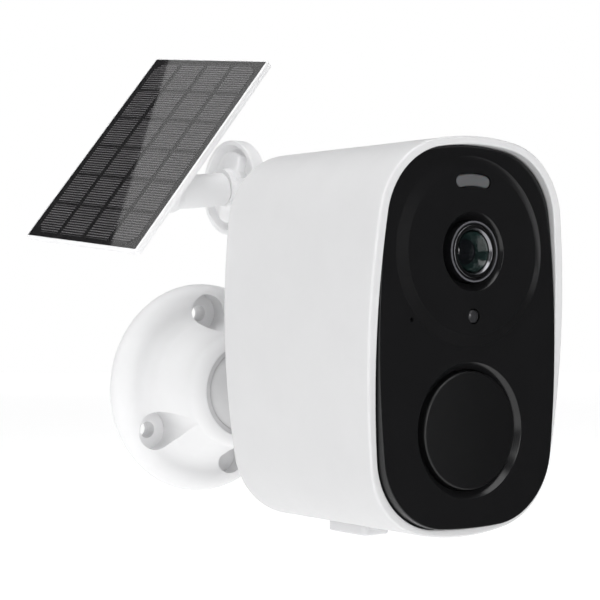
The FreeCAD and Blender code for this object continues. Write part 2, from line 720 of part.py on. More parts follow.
def ball_joint():
    """Liner, clamp ring, ball with its neck, threaded stud, lock nut and the camera's threaded insert."""
    ball = size("ball_depth")
    radius = size("ball_radius")
    turned("ball_liner", [(12.22, -27.0), (8.88, -10.2, 13.75, -20.7), (7.23, -10.2),
                          (11.08, -27.0, 12.75, -20.7)])
    clamp = new_body("ball_clamp")
    turn(clamp, [(13.6, -4.4), (13.6, -17.83), (8.0, -9.33, 11.3, -12.6), (8.0, -3.3), (17.0, -3.3),
                 (17.0, -4.4)], "Y")
    holes = flat_sketch(clamp, "XZ", 8)
    for x, z in ring_spots(3, 15.55, 30):
        circle(holes, x, z, 0.85)
    cut(clamp, holes, 12)
    keep(clamp)
    spots = [Placement(Vector(x, -3.3, z), FORWARD) for x, z in ring_spots(3, 15.55, 30)]
    neck = size("neck_radius")
    turned("ball_stud", [(0, radius - ball), (neck, -32.27, 12.6, -20.7), (neck, -52), (8.5, -52), (8.5, -55),
                         (3.15, -55), (3.15, -48.5), (0, -48.5)])
    thread = size("thread_radius")
    turned("stud_screw", [(0, -48.8), (thread, -48.8), (thread, -73.0), (2.4, -73.7), (0, -73.7)])
    nut = new_body("lock_nut")
    blank = flat_sketch(nut, "XZ", 57.4)
    circle(blank, 0, 0, size("nut_radius"))
    circle(blank, 0, 0, size("thread_radius") + 0.08)
    pad(nut, blank, 6.0)
    flute = flat_sketch(nut, "XZ", 50)
    circle(flute, size("nut_radius") + 0.5, 0, 1.3)
    groove = cut(nut, flute, 20, back=True)
    pattern = nut.newObject("PartDesign::PolarPattern", "nut_flutes")
    pattern.Originals = [groove]
    axis = [item for item in nut.Origin.OriginFeatures if item.Role == "Y_Axis"][0]
    pattern.Axis = (axis, [""])
    pattern.Angle = 360
    pattern.Occurrences = 16
    nut.Tip = pattern
    keep(nut)
    turned("thread_insert", [(size("thread_radius") + 0.08, 47.4), (5.1, 47.4), (5.1, 56.6),
                             (size("thread_radius") + 0.08, 56.6)],
           place=face_frame(x=-size("head_side"), z=-size("face_height")))
    return spots


def carrier():
    """Steel carrier: round wall plate behind the base, neck, and flange that holds the solar bracket."""
    body = new_body("carrier_plate")
    steel = size("steel")
    disc = flat_sketch(body, "XZ")
    circle(disc, 0, 0, size("carrier_disc"))
    pad(body, disc, steel)
    neck = flat_sketch(body, "XZ")
    inner, outer, top = size("neck_inner"), size("neck_outer"), size("flange_top")
    outline(neck, [(6, 18), (22, 8), (outer, 30), (outer, top), (inner, top), (inner, 30)])
    pad(body, neck, steel)
    flange = flat_sketch(body, "YZ", inner)
    rectangle(flange, -33, 48, 0, top)
    pad(body, flange, steel)
    fillet(body, 4.0, lambda edge, middle: is_crosswise(edge) and middle.y < -32)
    fillet(body, 3.0, lambda edge, middle: is_long(edge) and middle.z > 59 and middle.x > 26)
    holes = flat_sketch(body, "XZ", 10)
    for x, z in ring_spots(3, number(size("base_hole_circle")), FIRST_HOLE):
        circle(holes, x, z, size("base_hole"))
    cut(body, holes, 20)
    drilled = flat_sketch(body, "YZ", 10)
    circle(drilled, size("solar_y"), size("solar_z"), 1.6)
    cut(body, drilled, 20, back=True)
    keep(body)


def is_crosswise(edge):
    """True for an edge that starts out along X."""
    return abs(edge.tangentAt(edge.FirstParameter).x) > 0.9


# ---------------------------------------------------------------- solar bracket

def solar_frame():
    """Placement of the pieces on the bracket's own axis, along X, with the swivel pivot at its origin."""
    return at(size("head_side"), size("solar_y"), size("solar_z"))


def arm_frame():
    """Placement of the arm's pieces: the same pivot, turned so that -X runs down the arm."""
    return Placement(solar_frame().Base, Rotation(Vector(0, 1, 0), -number(size("arm_drop"))))


def down_the_arm(reach):
    """Offset from the swivel pivot to a point on the arm's axis, in the model's X and Z."""
    drop = math.radians(number(size("arm_drop")))
    return Vector(-math.cos(drop), 0, -math.sin(drop)) * reach


def solar_bracket():
    """Spacer, round base with cross ribs and hub, and the screw that holds them to the carrier's flange."""
    back = size("solar_x")
    inner = size("neck_inner") - size("head_side")
    place = solar_frame()
    turned("solar_spacer", [(back, 1.65), (inner, 1.65), (inner, 5.0), (back, 5.0)], "X", place)
    body = new_body("bracket_blank")
    front = back - size("disc_thick")
    rim = size("disc_radius")
    turn(body, [
        (-0.5, 0), (-0.5, 1.3), (back, 1.3), (back, rim - 0.3), (back - 0.4, rim), (front + 0.3, rim),
        (front, rim - 0.35), (front, rim - 1.3), (back - 1.5, rim - 1.8), (back - 1.5, 5.6), (-3.2, 4.9),
        (-7.5, 4.75), (-7.5, 0),
    ], "X")
    ribs = flat_sketch(body, "YZ", back - 2.0)
    outline(ribs, cross_points(9.6, 2.0, -10))
    pad(body, ribs, 2.6, back=True)
    seam = down_the_arm(SEAM)
    beyond = down_the_arm(SEAM + 4)
    side = Vector(-seam.z, 0, seam.x).normalize() * 8
    corners = [seam + side, beyond + side, beyond - side, seam - side]
    trim = flat_sketch(body, "XZ")
    outline(trim, [(corner.x, corner.z) for corner in corners])
    cut(body, trim, 30, both=True)
    holes = flat_sketch(body, "YZ", -5)
    for y, z in ring_spots(4, 8.6, 35):
        circle(holes, y, z, 1.15)
    cut(body, holes, 10, back=True)
    bore_place = Placement(down_the_arm(1.05), Rotation(Vector(0, 0, 1), down_the_arm(1)))
    bracket = doc.addObject("Part::Cut", "solar_base")
    bracket.Base = body
    bracket.Tool = rod("pivot_bore", 1.3, 12, bore_place)
    keep(bracket, place)
    flange = inner + size("steel")
    turned("spacer_screw", [(flange + 1.6, 0), (flange + 1.6, 3.0), (flange, 3.0), (flange, 1.45),
                            (back + 0.6, 1.45), (back + 0.1, 1.22), (-0.3, 1.22), (-0.3, 0)], "X", place)


def cross_points(reach, half, first):
    """Corners of a four-armed cross, as (y, z), with its first arm at an angle in degrees."""
    corners = []
    for arm in range(4):
        angle = math.radians(first + 90 * arm)
        out = Vector(math.cos(angle), math.sin(angle), 0)
        side = Vector(-out.y, out.x, 0)
        for along, across in ((reach, -half), (reach, half), (half, half)):
            spot = out * along + side * across
            corners.append((spot.x, spot.y))
    return corners


def solar_arm():
    """Arm with a socket at its far end, and the screw it swivels on."""
    place = arm_frame()
    ball = -(SEAM + number(size("arm_length")))
    seat = number(size("panel_ball")) + 0.15
    arm = size("arm_radius")
    mouth = ball - 0.8
    start = -SEAM - 0.15
    turned("solar_arm", [
        (start, 1.75), (start, arm - 0.25), (start - 0.25, arm), (-18.6, arm), (-20.6, 5.2), (mouth, 5.2),
        (mouth, math.sqrt(seat ** 2 - 0.64)),
        (ball + math.sqrt(seat ** 2 - 4), 2.0, ball + seat * 0.5, seat * 0.866),
        (start - 2.2, 2.0), (start - 2.2, 1.75)], "X", place)
    turned("arm_screw", [
        (-1.3, 0), (-1.3, 1.22), (start + 0.1, 1.22), (start + 0.1, 1.65), (start - 2.4, 1.65),
        (start - 2.4, 1.9), (start - 3.9, 1.9), (start - 3.9, 0)], "X", place)


def panel_frame_place():
    """Placement of the panel: +Z out of the glass, +Y up its long side, origin at the centre of the glass."""
    ball = solar_frame().Base + down_the_arm(SEAM + number(size("arm_length")))
    turned_by = Rotation(number(size("panel_yaw")), number(size("panel_pitch")), number(size("panel_roll")))
    offset = Vector(0, -number(size("mount_offset")), -number(size("ball_standoff")))
    return Placement(ball - turned_by.multVec(offset), turned_by)


def panel_slab(label, grow, low, high, corner=1.0):
    """A flat sheet of the panel, rounded at its corners."""
    body = new_body(label)
    sketch = flat_sketch(body, "XY", low)
    half_u = size("glass_width") * 0.5 + grow
    half_v = size("glass_length") * 0.5 + grow
    rectangle(sketch, -half_u, -half_v, half_u, half_v)
    pad(body, sketch, high - low)
    fillet(body, corner, lambda edge, middle: is_upright(edge))
    return body


def solar_panel():
    """Panel tray, cell sheet, cover glass, cable box with its outlet, and the ball that carries the panel."""
    place = panel_frame_place()
    thick = size("panel_thick")
    mount = -size("mount_offset")
    standoff = size("ball_standoff")
    tray = panel_slab("panel_tray", 0.3, -thick, 0.0)
    pocket = flat_sketch(tray, "XY", -1.0)
    half_u = size("glass_width") * 0.5
    half_v = size("glass_length") * 0.5
    rectangle(pocket, -half_u, -half_v, half_u, half_v)
    cut(tray, pocket, 4, back=True)
    lug = flat_sketch(tray, "XY", -thick)
    circle(lug, 0, mount, 6.0)
    pad(tray, lug, 2.2, back=True)
    bore = flat_sketch(tray, "XY", -thick - 4.5)
    circle(bore, 0, mount, 1.55)
    cut(tray, bore, 5.1, back=True)
    keep(tray, place)
    keep(panel_slab("cell_sheet", -0.05, -1.0, -0.5, 0.4), place)
    keep(panel_slab("panel_glass", -0.05, -0.5, 0.0, 0.4), place)
    box = new_body("cable_box")
    footprint = flat_sketch(box, "XY", -thick)
    rectangle(footprint, -8, 12, 8, 22)
    pad(box, footprint, 3.0, back=True)
    fillet(box, 0.8, lambda edge, middle: middle.z < -4.9 or is_upright(edge))
    keep(box, place)
    outlet = new_body("cable_outlet")
    stub = flat_sketch(outlet, "XZ", -12)
    circle(stub, 0, -3.6, 1.3)
    circle(stub, 0, -3.6, 0.8)
    pad(outlet, stub, 2.4)
    keep(outlet, place)
    neck_place = place.multiply(at(0, mount, -standoff))
    ball = size("panel_ball")
    carried = new_body("panel_ball")
    reach = number(standoff)
    neck = 1.4
    shoulder = math.sqrt(number(ball) ** 2 - neck ** 2)
    turn(carried, [(0, -number(ball)), (neck, shoulder, number(ball), 0), (neck, reach - 5.8),
                   (3.0, reach - 5.8), (3.0, reach - 4.4), (1.48, reach - 4.4), (1.48, reach - 1.7),
                   (0, reach - 1.7)], "Y")
    keep(carried, neck_place.multiply(Placement(Vector(), Rotation(Vector(1, 0, 0), 90))))


# ---------------------------------------------------------------- build, check and write

housing_shell()
front_plate()
lens_group()
motion_sensor()
electronics()
charging_port()
wall_base()
clamp_seats = ball_joint()
screws("clamp_screws", clamp_seats, 1.4, 1.0, 0.7, 4.2)
carrier()
solar_bracket()
solar_arm()
solar_panel()
doc.recompute()

for item in doc.Objects:
    if "Invalid" in item.State or "Error" in item.State:
        raise RuntimeError(f"{item.Name} failed: {item.State}")
for piece in NODES:
    if piece.Shape.isNull() or not piece.Shape.isValid():
        raise RuntimeError(f"{piece.Label} has no valid shape")

os.makedirs("parts", exist_ok=True)
for piece in NODES:
    piece.Shape.exportStep(f"parts/{piece.Label}.step")
    print(piece.Label, len(piece.Shape.Solids), round(piece.Shape.Volume, 1))
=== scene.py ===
"""Solar-powered security camera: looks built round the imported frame, in millimetres until mesh_piece()."""
import bmesh
import bpy
import json
import math
from mathutils import Matrix, Vector
from mathutils.geometry import delaunay_2d_cdt


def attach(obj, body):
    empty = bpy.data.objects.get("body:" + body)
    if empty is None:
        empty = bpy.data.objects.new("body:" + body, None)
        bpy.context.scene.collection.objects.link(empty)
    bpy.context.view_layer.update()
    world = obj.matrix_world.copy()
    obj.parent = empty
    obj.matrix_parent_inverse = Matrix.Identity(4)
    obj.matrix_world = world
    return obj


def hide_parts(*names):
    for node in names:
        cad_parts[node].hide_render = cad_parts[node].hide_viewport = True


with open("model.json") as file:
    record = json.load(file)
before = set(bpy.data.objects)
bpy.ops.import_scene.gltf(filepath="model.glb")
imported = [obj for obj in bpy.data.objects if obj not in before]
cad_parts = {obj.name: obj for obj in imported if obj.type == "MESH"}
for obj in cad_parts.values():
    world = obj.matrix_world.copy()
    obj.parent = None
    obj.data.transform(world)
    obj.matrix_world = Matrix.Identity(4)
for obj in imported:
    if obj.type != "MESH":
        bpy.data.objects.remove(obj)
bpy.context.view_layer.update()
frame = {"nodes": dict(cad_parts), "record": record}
MM = 0.001
TAU = 2 * math.pi

# ---------------------------------------------------------------- places, in millimetres

HEAD_SIDE = -2.6
FACE = Vector((HEAD_SIDE, -121, 15))
RING_OFFSET = 20.0
SENSOR_LEVEL = 5.55
PIVOT = Vector((HEAD_SIDE, -26.4, 54.1))
LENS_FORWARD = 1.8
ARM_DROP = math.radians(5.8)
SEAM = 4.3
ARM_REACH = SEAM + 20.25
PANEL_TURN = (math.radians(-79.0), math.radians(6.2), math.radians(50.8))
MOUNT_OFFSET, BALL_STANDOFF = 5.9, 11.0

AT_FACE = Matrix.Translation(FACE)
AT_LENS = Matrix.Translation(FACE + Vector((0, 0, RING_OFFSET)))
AT_CORE = Matrix.Translation(FACE + Vector((0, -LENS_FORWARD, RING_OFFSET)))
AT_MOTION = Matrix.Translation(FACE - Vector((0, 0, RING_OFFSET)))
AT_SENSOR = Matrix.Translation(FACE + Vector((0, 0, SENSOR_LEVEL)))
AT_SOLAR = Matrix.Translation(PIVOT)
AT_ARM = AT_SOLAR @ Matrix.Rotation(-ARM_DROP, 4, "Y")
PANEL_BALL = AT_ARM @ Vector((-ARM_REACH, 0, 0))
panel_rotation = (Matrix.Rotation(PANEL_TURN[0], 4, "Z") @ Matrix.Rotation(PANEL_TURN[1], 4, "Y")
                  @ Matrix.Rotation(PANEL_TURN[2], 4, "X"))
panel_place = PANEL_BALL + panel_rotation @ Vector((0, MOUNT_OFFSET, BALL_STANDOFF))
AT_PANEL = Matrix.Translation(panel_place) @ panel_rotation
HOME = Matrix()
X_TO_Y = Matrix(((0, 1, 0, 0), (1, 0, 0, 0), (0, 0, -1, 0), (0, 0, 0, 1)))
"""Turns a piece made about Y into one made about X."""

# ---------------------------------------------------------------- materials

def node(tree, kind, **values):
    """A shader node with its named properties and sockets set."""
    made = tree.nodes.new(kind)
    for key, value in values.items():
        if key in made.inputs:
            made.inputs[key].default_value = value
        else:
            setattr(made, key, value)
    return made


def blank(name):
    """A material with a lone Principled shader and object coordinates in millimetres."""
    material = bpy.data.materials.new(name)
    material.use_nodes = True
    tree = material.node_tree
    shader = tree.nodes["Principled BSDF"]
    spots = node(tree, "ShaderNodeTexCoord")
    scaled = node(tree, "ShaderNodeVectorMath", operation="SCALE", Scale=1000.0)
    tree.links.new(spots.outputs["Object"], scaled.inputs[0])
    return material, tree, shader, scaled.outputs[0]


def noise(tree, where, scale, detail=3.0, roughness=0.5):
    """A noise texture's value; scale is in features per millimetre."""
    made = node(tree, "ShaderNodeTexNoise", Scale=scale, Detail=detail, Roughness=roughness)
    tree.links.new(where, made.inputs["Vector"])
    return made.outputs["Fac"]


def ramp(tree, value, stops):
    """A colour ramp over (position, colour) stops."""
    made = tree.nodes.new("ShaderNodeValToRGB")
    elements = made.color_ramp.elements
    while len(elements) < len(stops):
        elements.new(0.5)
    for element, (position, colour) in zip(elements, stops):
        element.position = position
        element.color = (*colour, 1) if len(colour) == 3 else colour
    tree.links.new(value, made.inputs["Fac"])
    return made.outputs["Color"]


def span(tree, value, low, high, source=(0.3, 0.7)):
    """A value moved from the source range to low..high."""
    made = node(tree, "ShaderNodeMapRange")
    for key, number in (("From Min", source[0]), ("From Max", source[1]), ("To Min", low), ("To Max", high)):
        made.inputs[key].default_value = number
    tree.links.new(value, made.inputs["Value"])
    return made.outputs["Result"]


def bump(tree, shader, height, depth, strength=1.0):
    """Bump of this depth in millimetres on the shader."""
    made = node(tree, "ShaderNodeBump", Distance=depth * MM, Strength=strength)
    tree.links.new(height, made.inputs["Height"])
    tree.links.new(made.outputs["Normal"], shader.inputs["Normal"])


def shade(colour, factor):
    """A colour made lighter or darker."""
    return tuple(min(1.0, channel * factor) for channel in colour)


def moulded(name, colour, rough=(0.36, 0.46), grain=7.0, depth=0.006, tone=0.02, cloud=0.09, **sockets):
    """Moulded plastic: faint tone clouds, uneven gloss and a fine even grain."""
    material, tree, shader, where = blank(name)
    clouds = noise(tree, where, cloud, 4.0, 0.55)
    tint = ramp(tree, clouds, [(0.3, shade(colour, 1 - tone)), (0.7, shade(colour, 1 + tone))])
    tree.links.new(tint, shader.inputs["Base Color"])
    tree.links.new(span(tree, noise(tree, where, 0.9, 5.0, 0.6), *rough), shader.inputs["Roughness"])
    bump(tree, shader, noise(tree, where, grain, 2.0), depth)
    for key, value in sockets.items():
        shader.inputs[key.replace("_", " ")].default_value = value
    return material


def metal(name, colour, rough=(0.22, 0.36), lines=(0.5, 18.0, 18.0), depth=0.004):
    """Plated or turned metal with fine stretched scratches."""
    material, tree, shader, where = blank(name)
    shader.inputs["Metallic"].default_value = 1.0
    stretch = node(tree, "ShaderNodeMapping")
    stretch.inputs["Scale"].default_value = lines
    tree.links.new(where, stretch.inputs["Vector"])
    streaks = noise(tree, stretch.outputs["Vector"], 1.0, 6.0, 0.65)
    tree.links.new(ramp(tree, streaks, [(0.25, shade(colour, 0.9)), (0.75, shade(colour, 1.06))]),
                   shader.inputs["Base Color"])
    tree.links.new(span(tree, streaks, *rough), shader.inputs["Roughness"])
    bump(tree, shader, streaks, depth)
    return material


def board(name):
    """Printed circuit board: solder mask with a faint grid of tracks and pads."""
    material, tree, shader, where = blank(name)
    cells = node(tree, "ShaderNodeTexBrick", Scale=0.35)
    cells.inputs["Mortar Size"].default_value = 0.035
    cells.inputs["Color1"].default_value = (0.012, 0.10, 0.05, 1)
    cells.inputs["Color2"].default_value = (0.016, 0.13, 0.065, 1)
    cells.inputs["Mortar"].default_value = (0.10, 0.16, 0.06, 1)
    tree.links.new(where, cells.inputs["Vector"])
    tree.links.new(cells.outputs["Color"], shader.inputs["Base Color"])
    tree.links.new(span(tree, noise(tree, where, 1.2), 0.28, 0.42), shader.inputs["Roughness"])
    bump(tree, shader, cells.outputs["Fac"], 0.02)
    return material


def clear(name, tint, alpha, rough=(0.01, 0.03), **sockets):
    """Thin clear glass: mostly see-through, with its own reflections."""
    material, tree, shader, where = blank(name)
    smears = noise(tree, where, 0.25, 5.0, 0.6)
    tree.links.new(ramp(tree, smears, [(0.3, tint), (0.7, shade(tint, 1.1))]), shader.inputs["Base Color"])
    tree.links.new(span(tree, smears, *rough), shader.inputs["Roughness"])
    shader.inputs["Alpha"].default_value = alpha
    for key, value in sockets.items():
        shader.inputs[key.replace("_", " ")].default_value = value
    return material


def solar_cells(name):
    """Dark silicon with fine pale contact lines across each cell, under a glossy cover."""
    material, tree, shader, where = blank(name)
    split = node(tree, "ShaderNodeSeparateXYZ")
    tree.links.new(where, split.inputs[0])

    def stripes(axis, pitch, share):
        """1 on lines of this pitch and share of the pitch, 0 between."""
        turns = node(tree, "ShaderNodeMath", operation="MULTIPLY")
        turns.inputs[1].default_value = 1 / pitch
        tree.links.new(split.outputs[axis], turns.inputs[0])
        part = node(tree, "ShaderNodeMath", operation="FRACT")
        tree.links.new(turns.outputs[0], part.inputs[0])
        away = node(tree, "ShaderNodeMath", operation="SUBTRACT")
        away.inputs[1].default_value = 0.5
        tree.links.new(part.outputs[0], away.inputs[0])
        size = node(tree, "ShaderNodeMath", operation="ABSOLUTE")
        tree.links.new(away.outputs[0], size.inputs[0])
        return span(tree, size.outputs[0], 1.0, 0.0, (share / 2 - 0.04, share / 2 + 0.04))

    lines = stripes("Y", 0.78, 0.40)
    ticks = stripes("X", 0.95, 0.72)
    both = node(tree, "ShaderNodeMath", operation="MULTIPLY")
    tree.links.new(lines, both.inputs[0])
    tree.links.new(span(tree, ticks, 0.55, 1.0, (0.0, 1.0)), both.inputs[1])
    mixed = node(tree, "ShaderNodeMix", data_type="RGBA")
    tree.links.new(both.outputs[0], mixed.inputs[0])
    darks = [(0.3, (0.006, 0.005, 0.006)), (0.7, (0.010, 0.009, 0.010))]
    tree.links.new(ramp(tree, noise(tree, where, 0.12, 3.0), darks),
                   mixed.inputs[6])
    mixed.inputs[7].default_value = (0.15, 0.146, 0.15, 1)
    tree.links.new(mixed.outputs[2], shader.inputs["Base Color"])
    tree.links.new(span(tree, noise(tree, where, 2.0), 0.30, 0.42), shader.inputs["Roughness"])
    bump(tree, shader, both.outputs[0], 0.01)
    shader.inputs["Specular IOR Level"].default_value = 0.05
    shader.inputs["Coat Weight"].default_value = 1.0
    shader.inputs["Coat Roughness"].default_value = 0.02
    shader.inputs["Coat IOR"].default_value = 1.5
    return material


LOOKS = {
    "white_shell": moulded("shell_white", (0.68, 0.68, 0.685), (0.40, 0.50), 6.0, 0.004, 0.012),
    "port_plug_white": moulded("plug_white", (0.74, 0.74, 0.75), (0.48, 0.60), 5.0, 0.006, 0.02),
    "strap_rubber": moulded("strap_pale", (0.66, 0.66, 0.68), (0.55, 0.7), 4.0, 0.008, 0.03),
    "white_base": moulded("base_white", (0.84, 0.84, 0.845), (0.42, 0.52), 6.0, 0.004, 0.012),
    "face_black": moulded("face_black", (0.0085, 0.0085, 0.009), (0.17, 0.23), 8.0, 0.0015, 0.06),
    "window_frost": moulded("window_frost", (0.11, 0.112, 0.115), (0.30, 0.40), 3.0, 0.01, 0.05,
                            Subsurface_Weight=0.3, Subsurface_Scale=0.001),
    "sensor_dome": moulded("sensor_grey", (0.028, 0.028, 0.03), (0.12, 0.2), 5.0, 0.002, 0.06),
    "barrel_black": moulded("barrel_black", (0.006, 0.006, 0.007), (0.30, 0.42), 9.0, 0.004, 0.08),
    "ring_metal": metal("ring_bright", (0.27, 0.27, 0.285), (0.16, 0.26), (1.0, 30.0, 1.0), 0.001),
    "lens_glass": clear("lens_clear", (0.01, 0.015, 0.015), 0.10),
    "pir_cover": moulded("motion_black", (0.006, 0.006, 0.0065), (0.34, 0.42), 4.0, 0.003, 0.06),
    "can_metal": metal("can_steel", (0.60, 0.60, 0.61)),
    "silicon": moulded("silicon", (0.05, 0.05, 0.09), (0.08, 0.16), 3.0, 0.001, 0.15, 0.6),
    "board_green": board("board_green"),
    "black_inner": moulded("inner_black", (0.03, 0.03, 0.032), (0.45, 0.6), 5.0, 0.01, 0.08),
    "seal_rubber": moulded("seal_black", (0.025, 0.025, 0.026), (0.6, 0.75), 4.0, 0.01, 0.08),
    "lamp_lens": moulded("lamp_yellow", (0.75, 0.66, 0.25), (0.2, 0.3), 4.0, 0.003, 0.05),
    "antenna_film": moulded("film_amber", (0.35, 0.17, 0.03), (0.25, 0.35), 4.0, 0.003, 0.08),
    "cell_wrap": moulded("wrap_blue", (0.03, 0.12, 0.30), (0.22, 0.32), 3.0, 0.005, 0.06),
    "liner_plastic": moulded("liner_grey", (0.62, 0.62, 0.625), (0.4, 0.5), 5.0, 0.006, 0.05),
    "ball_grey": moulded("ball_grey", (0.60, 0.60, 0.605), (0.42, 0.52), 5.0, 0.005, 0.03),
    "screw_steel": metal("screw_steel", (0.56, 0.56, 0.58)),
    "nut_white": moulded("nut_white", (0.78, 0.78, 0.79), (0.42, 0.52), 6.0, 0.004, 0.015),
    "insert_brass": metal("insert_brass", (0.70, 0.50, 0.20)),
    "carrier_paint": moulded("carrier_paint", (0.78, 0.78, 0.79), (0.36, 0.5), 2.2, 0.02, 0.02),
    "bracket_white": moulded("bracket_white", (0.90, 0.90, 0.905), (0.40, 0.50), 6.0, 0.004, 0.015),
    "panel_white": moulded("tray_white", (0.86, 0.86, 0.865), (0.40, 0.50), 6.0, 0.004, 0.015),
    "cell_dark": solar_cells("cells_dark"),
    "panel_glass": clear("cover_glass", (0.01, 0.01, 0.01), 0.05),
    "outlet_black": moulded("outlet_black", (0.02, 0.02, 0.02), (0.55, 0.7), 4.0, 0.01, 0.08),
}
BACKING = moulded("backing_black", (0.006, 0.0055, 0.006), (0.30, 0.40), 4.0, 0.003, 0.08, 0.3,
                  Coat_Weight=1.0, Coat_Roughness=0.02, Specular_IOR_Level=0.05)
COATING = moulded("lens_coating", (0.006, 0.018, 0.016), (0.10, 0.18), 3.0, 0.001, 0.25, 0.25,
                  Coat_Weight=0.6)
PUPIL = moulded("lens_inner", (0.004, 0.003, 0.005), (0.04, 0.08), 2.0, 0.001, 0.3, 0.5, Coat_Weight=1.0,
                Coat_Roughness=0.02)
THREAD = moulded("lens_trim", (0.10, 0.10, 0.11), (0.18, 0.26), 6.0, 0.002, 0.05)

# ---------------------------------------------------------------- mesh helpers

def mesh_piece(name, points, faces, place, body, slot, nodes=(), material=None, angle=32):
    """A mesh object from points in millimetres in a local place, riding on a body in place of CAD nodes."""
    mesh = bpy.data.meshes.new(name)
    mesh.from_pydata([tuple(Vector(point) * MM) for point in points], [], faces)
    work = bmesh.new()
    work.from_mesh(mesh)
    bmesh.ops.remove_doubles(work, verts=work.verts, dist=1e-7)
    bmesh.ops.recalc_face_normals(work, faces=work.faces)
    work.to_mesh(mesh)
    work.free()
    piece = bpy.data.objects.new(name, mesh)
    bpy.context.scene.collection.objects.link(piece)
    position = place.to_translation() * MM
    piece.matrix_world = Matrix.Translation(position) @ place.to_3x3().to_4x4()
    piece.data.materials.append(material or LOOKS[slot])
    polish(piece, angle)
    bpy.context.view_layer.update()
    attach(piece, body)
    if nodes:
        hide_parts(*nodes)
    return piece


def polish(piece, angle=32):
    """Smooth shading with sharp edges kept and flat faces kept flat."""
    piece.data.shade_smooth()
    piece.data.set_sharp_from_angle(angle=math.radians(angle))
    if "weighted" not in piece.modifiers:
        weighted = piece.modifiers.new("weighted", "WEIGHTED_NORMAL")
        weighted.keep_sharp = True


def carve(piece, cutters, angle=32):
    """Cut closed (points, faces) shapes, in the piece's own millimetres, out of it."""
    tools = []
    for number, (points, faces) in enumerate(cutters):
        mesh = bpy.data.meshes.new(f"cutter{number}")
        mesh.from_pydata([tuple(Vector(point) * MM) for point in points], [], faces)
        work = bmesh.new()
        work.from_mesh(mesh)
        bmesh.ops.recalc_face_normals(work, faces=work.faces)
        work.to_mesh(mesh)
        work.free()
        tool = bpy.data.objects.new(f"cutter{number}", mesh)
        bpy.context.scene.collection.objects.link(tool)
        tool.matrix_world = piece.matrix_world
        tools.append(tool)
        step = piece.modifiers.new("cut", "BOOLEAN")
        step.operation = "DIFFERENCE"
        step.solver = "EXACT"
        step.object = tool
    piece.modifiers.remove(piece.modifiers["weighted"])
    bpy.context.view_layer.update()
    cut = bpy.data.meshes.new_from_object(piece.evaluated_get(bpy.context.evaluated_depsgraph_get()))
    piece.modifiers.clear()
    piece.data = cut
    for tool in tools:
        bpy.data.objects.remove(tool)
    polish(piece, angle)


def loft(loops, closed=False, caps=True):
    """Points and faces through loops with equal counts: closed joins the last loop to the first."""
    count = len(loops[0])
    points = [point for loop in loops for point in loop]
    faces = []
    rows = len(loops)
    for row in range(rows if closed else rows - 1):
        low, high = row * count, (row + 1) % rows * count
        for i in range(count):
            j = (i + 1) % count
            faces.append((low + i, low + j, high + j, high + i))
    if caps and not closed:
        faces.append(tuple(range(count - 1, -1, -1)))
        faces.append(tuple(range((rows - 1) * count, rows * count)))
    return points, faces


def join(*parts):
    """Several (points, faces) in one."""
    points, faces = [], []
    for part_points, part_faces in parts:
        base = len(points)
        points += list(part_points)
        faces += [tuple(base + i for i in face) for face in part_faces]
    return points, faces


def ring(radius, y, count=192, flutes=None):
    """A circle about the Y axis; flutes is a function of angle that changes the radius."""
    angles = [TAU * i / count for i in range(count)]
    reach = lambda a: radius + (flutes(a) if flutes else 0)
    return [(reach(a) * math.cos(a), y, reach(a) * math.sin(a))
            for a in angles]


def lathe(profile, count=192):
    """Revolve a closed (radius, y) outline about Y. Points on the axis become a single pole."""
    points, faces, rows = [], [], []
    for radius, y in profile:
        if radius < 1e-6:
            rows.append([len(points)])
            points.append((0, y, 0))
        else:
            rows.append(list(range(len(points), len(points) + count)))
            points += ring(radius, y, count)
    for here, there in zip(rows, rows[1:] + rows[:1]):
        for i in range(count):
            j = (i + 1) % count
            if len(here) == 1 and len(there) == 1:
                continue
            if len(here) == 1:
                faces.append((here[0], there[j], there[i]))
            elif len(there) == 1:
                faces.append((here[i], here[j], there[0]))
            else:
                faces.append((here[i], here[j], there[j], there[i]))
    return points, faces


def soften(corners, closed=True, steps=5):
    """Outline points with each (a, b, radius) corner rounded."""
    result = []
    count = len(corners)
    for i, corner in enumerate(corners):
        here = Vector(corner[:2])
        if len(corner) == 2 or (not closed and i in (0, count - 1)):
            result.append(tuple(here))
            continue
        before = Vector(corners[i - 1][:2]) - here
        after = Vector(corners[(i + 1) % count][:2]) - here
        half = before.angle(after) / 2
        reach = min(corner[2] / math.tan(half), 0.49 * before.length, 0.49 * after.length)
        radius = reach * math.tan(half)
        centre = here + (before.normalized() + after.normalized()).normalized() * (radius / math.sin(half))
        start = here + before.normalized() * reach - centre
        end = here + after.normalized() * reach - centre
        first = math.atan2(start.y, start.x)
        sweep = (math.atan2(end.y, end.x) - first + math.pi) % TAU - math.pi
        for k in range(steps + 1):
            angle = first + sweep * k / steps
            result.append((centre.x + radius * math.cos(angle), centre.y + radius * math.sin(angle)))
    return result


def bow(start, middle, end, count=12):
    """Points on the arc through three points, without the first."""
    ax, ay = start
    bx, by = middle
    cx, cy = end
    d = 2 * (ax * (by - cy) + bx * (cy - ay) + cx * (ay - by))
    ux = ((ax**2 + ay**2) * (by - cy) + (bx**2 + by**2) * (cy - ay) + (cx**2 + cy**2) * (ay - by)) / d
    uy = ((ax**2 + ay**2) * (cx - bx) + (bx**2 + by**2) * (ax - cx) + (cx**2 + cy**2) * (bx - ax)) / d
    radius = math.hypot(ax - ux, ay - uy)
    first = math.atan2(ay - uy, ax - ux)
    via = (math.atan2(by - uy, bx - ux) - first) % TAU
    sweep = (math.atan2(cy - uy, cx - ux) - first) % TAU
    if via > sweep:
        sweep -= TAU
    return [(ux + radius * math.cos(first + sweep * k / count),
             uy + radius * math.sin(first + sweep * k / count))
            for k in range(1, count + 1)]


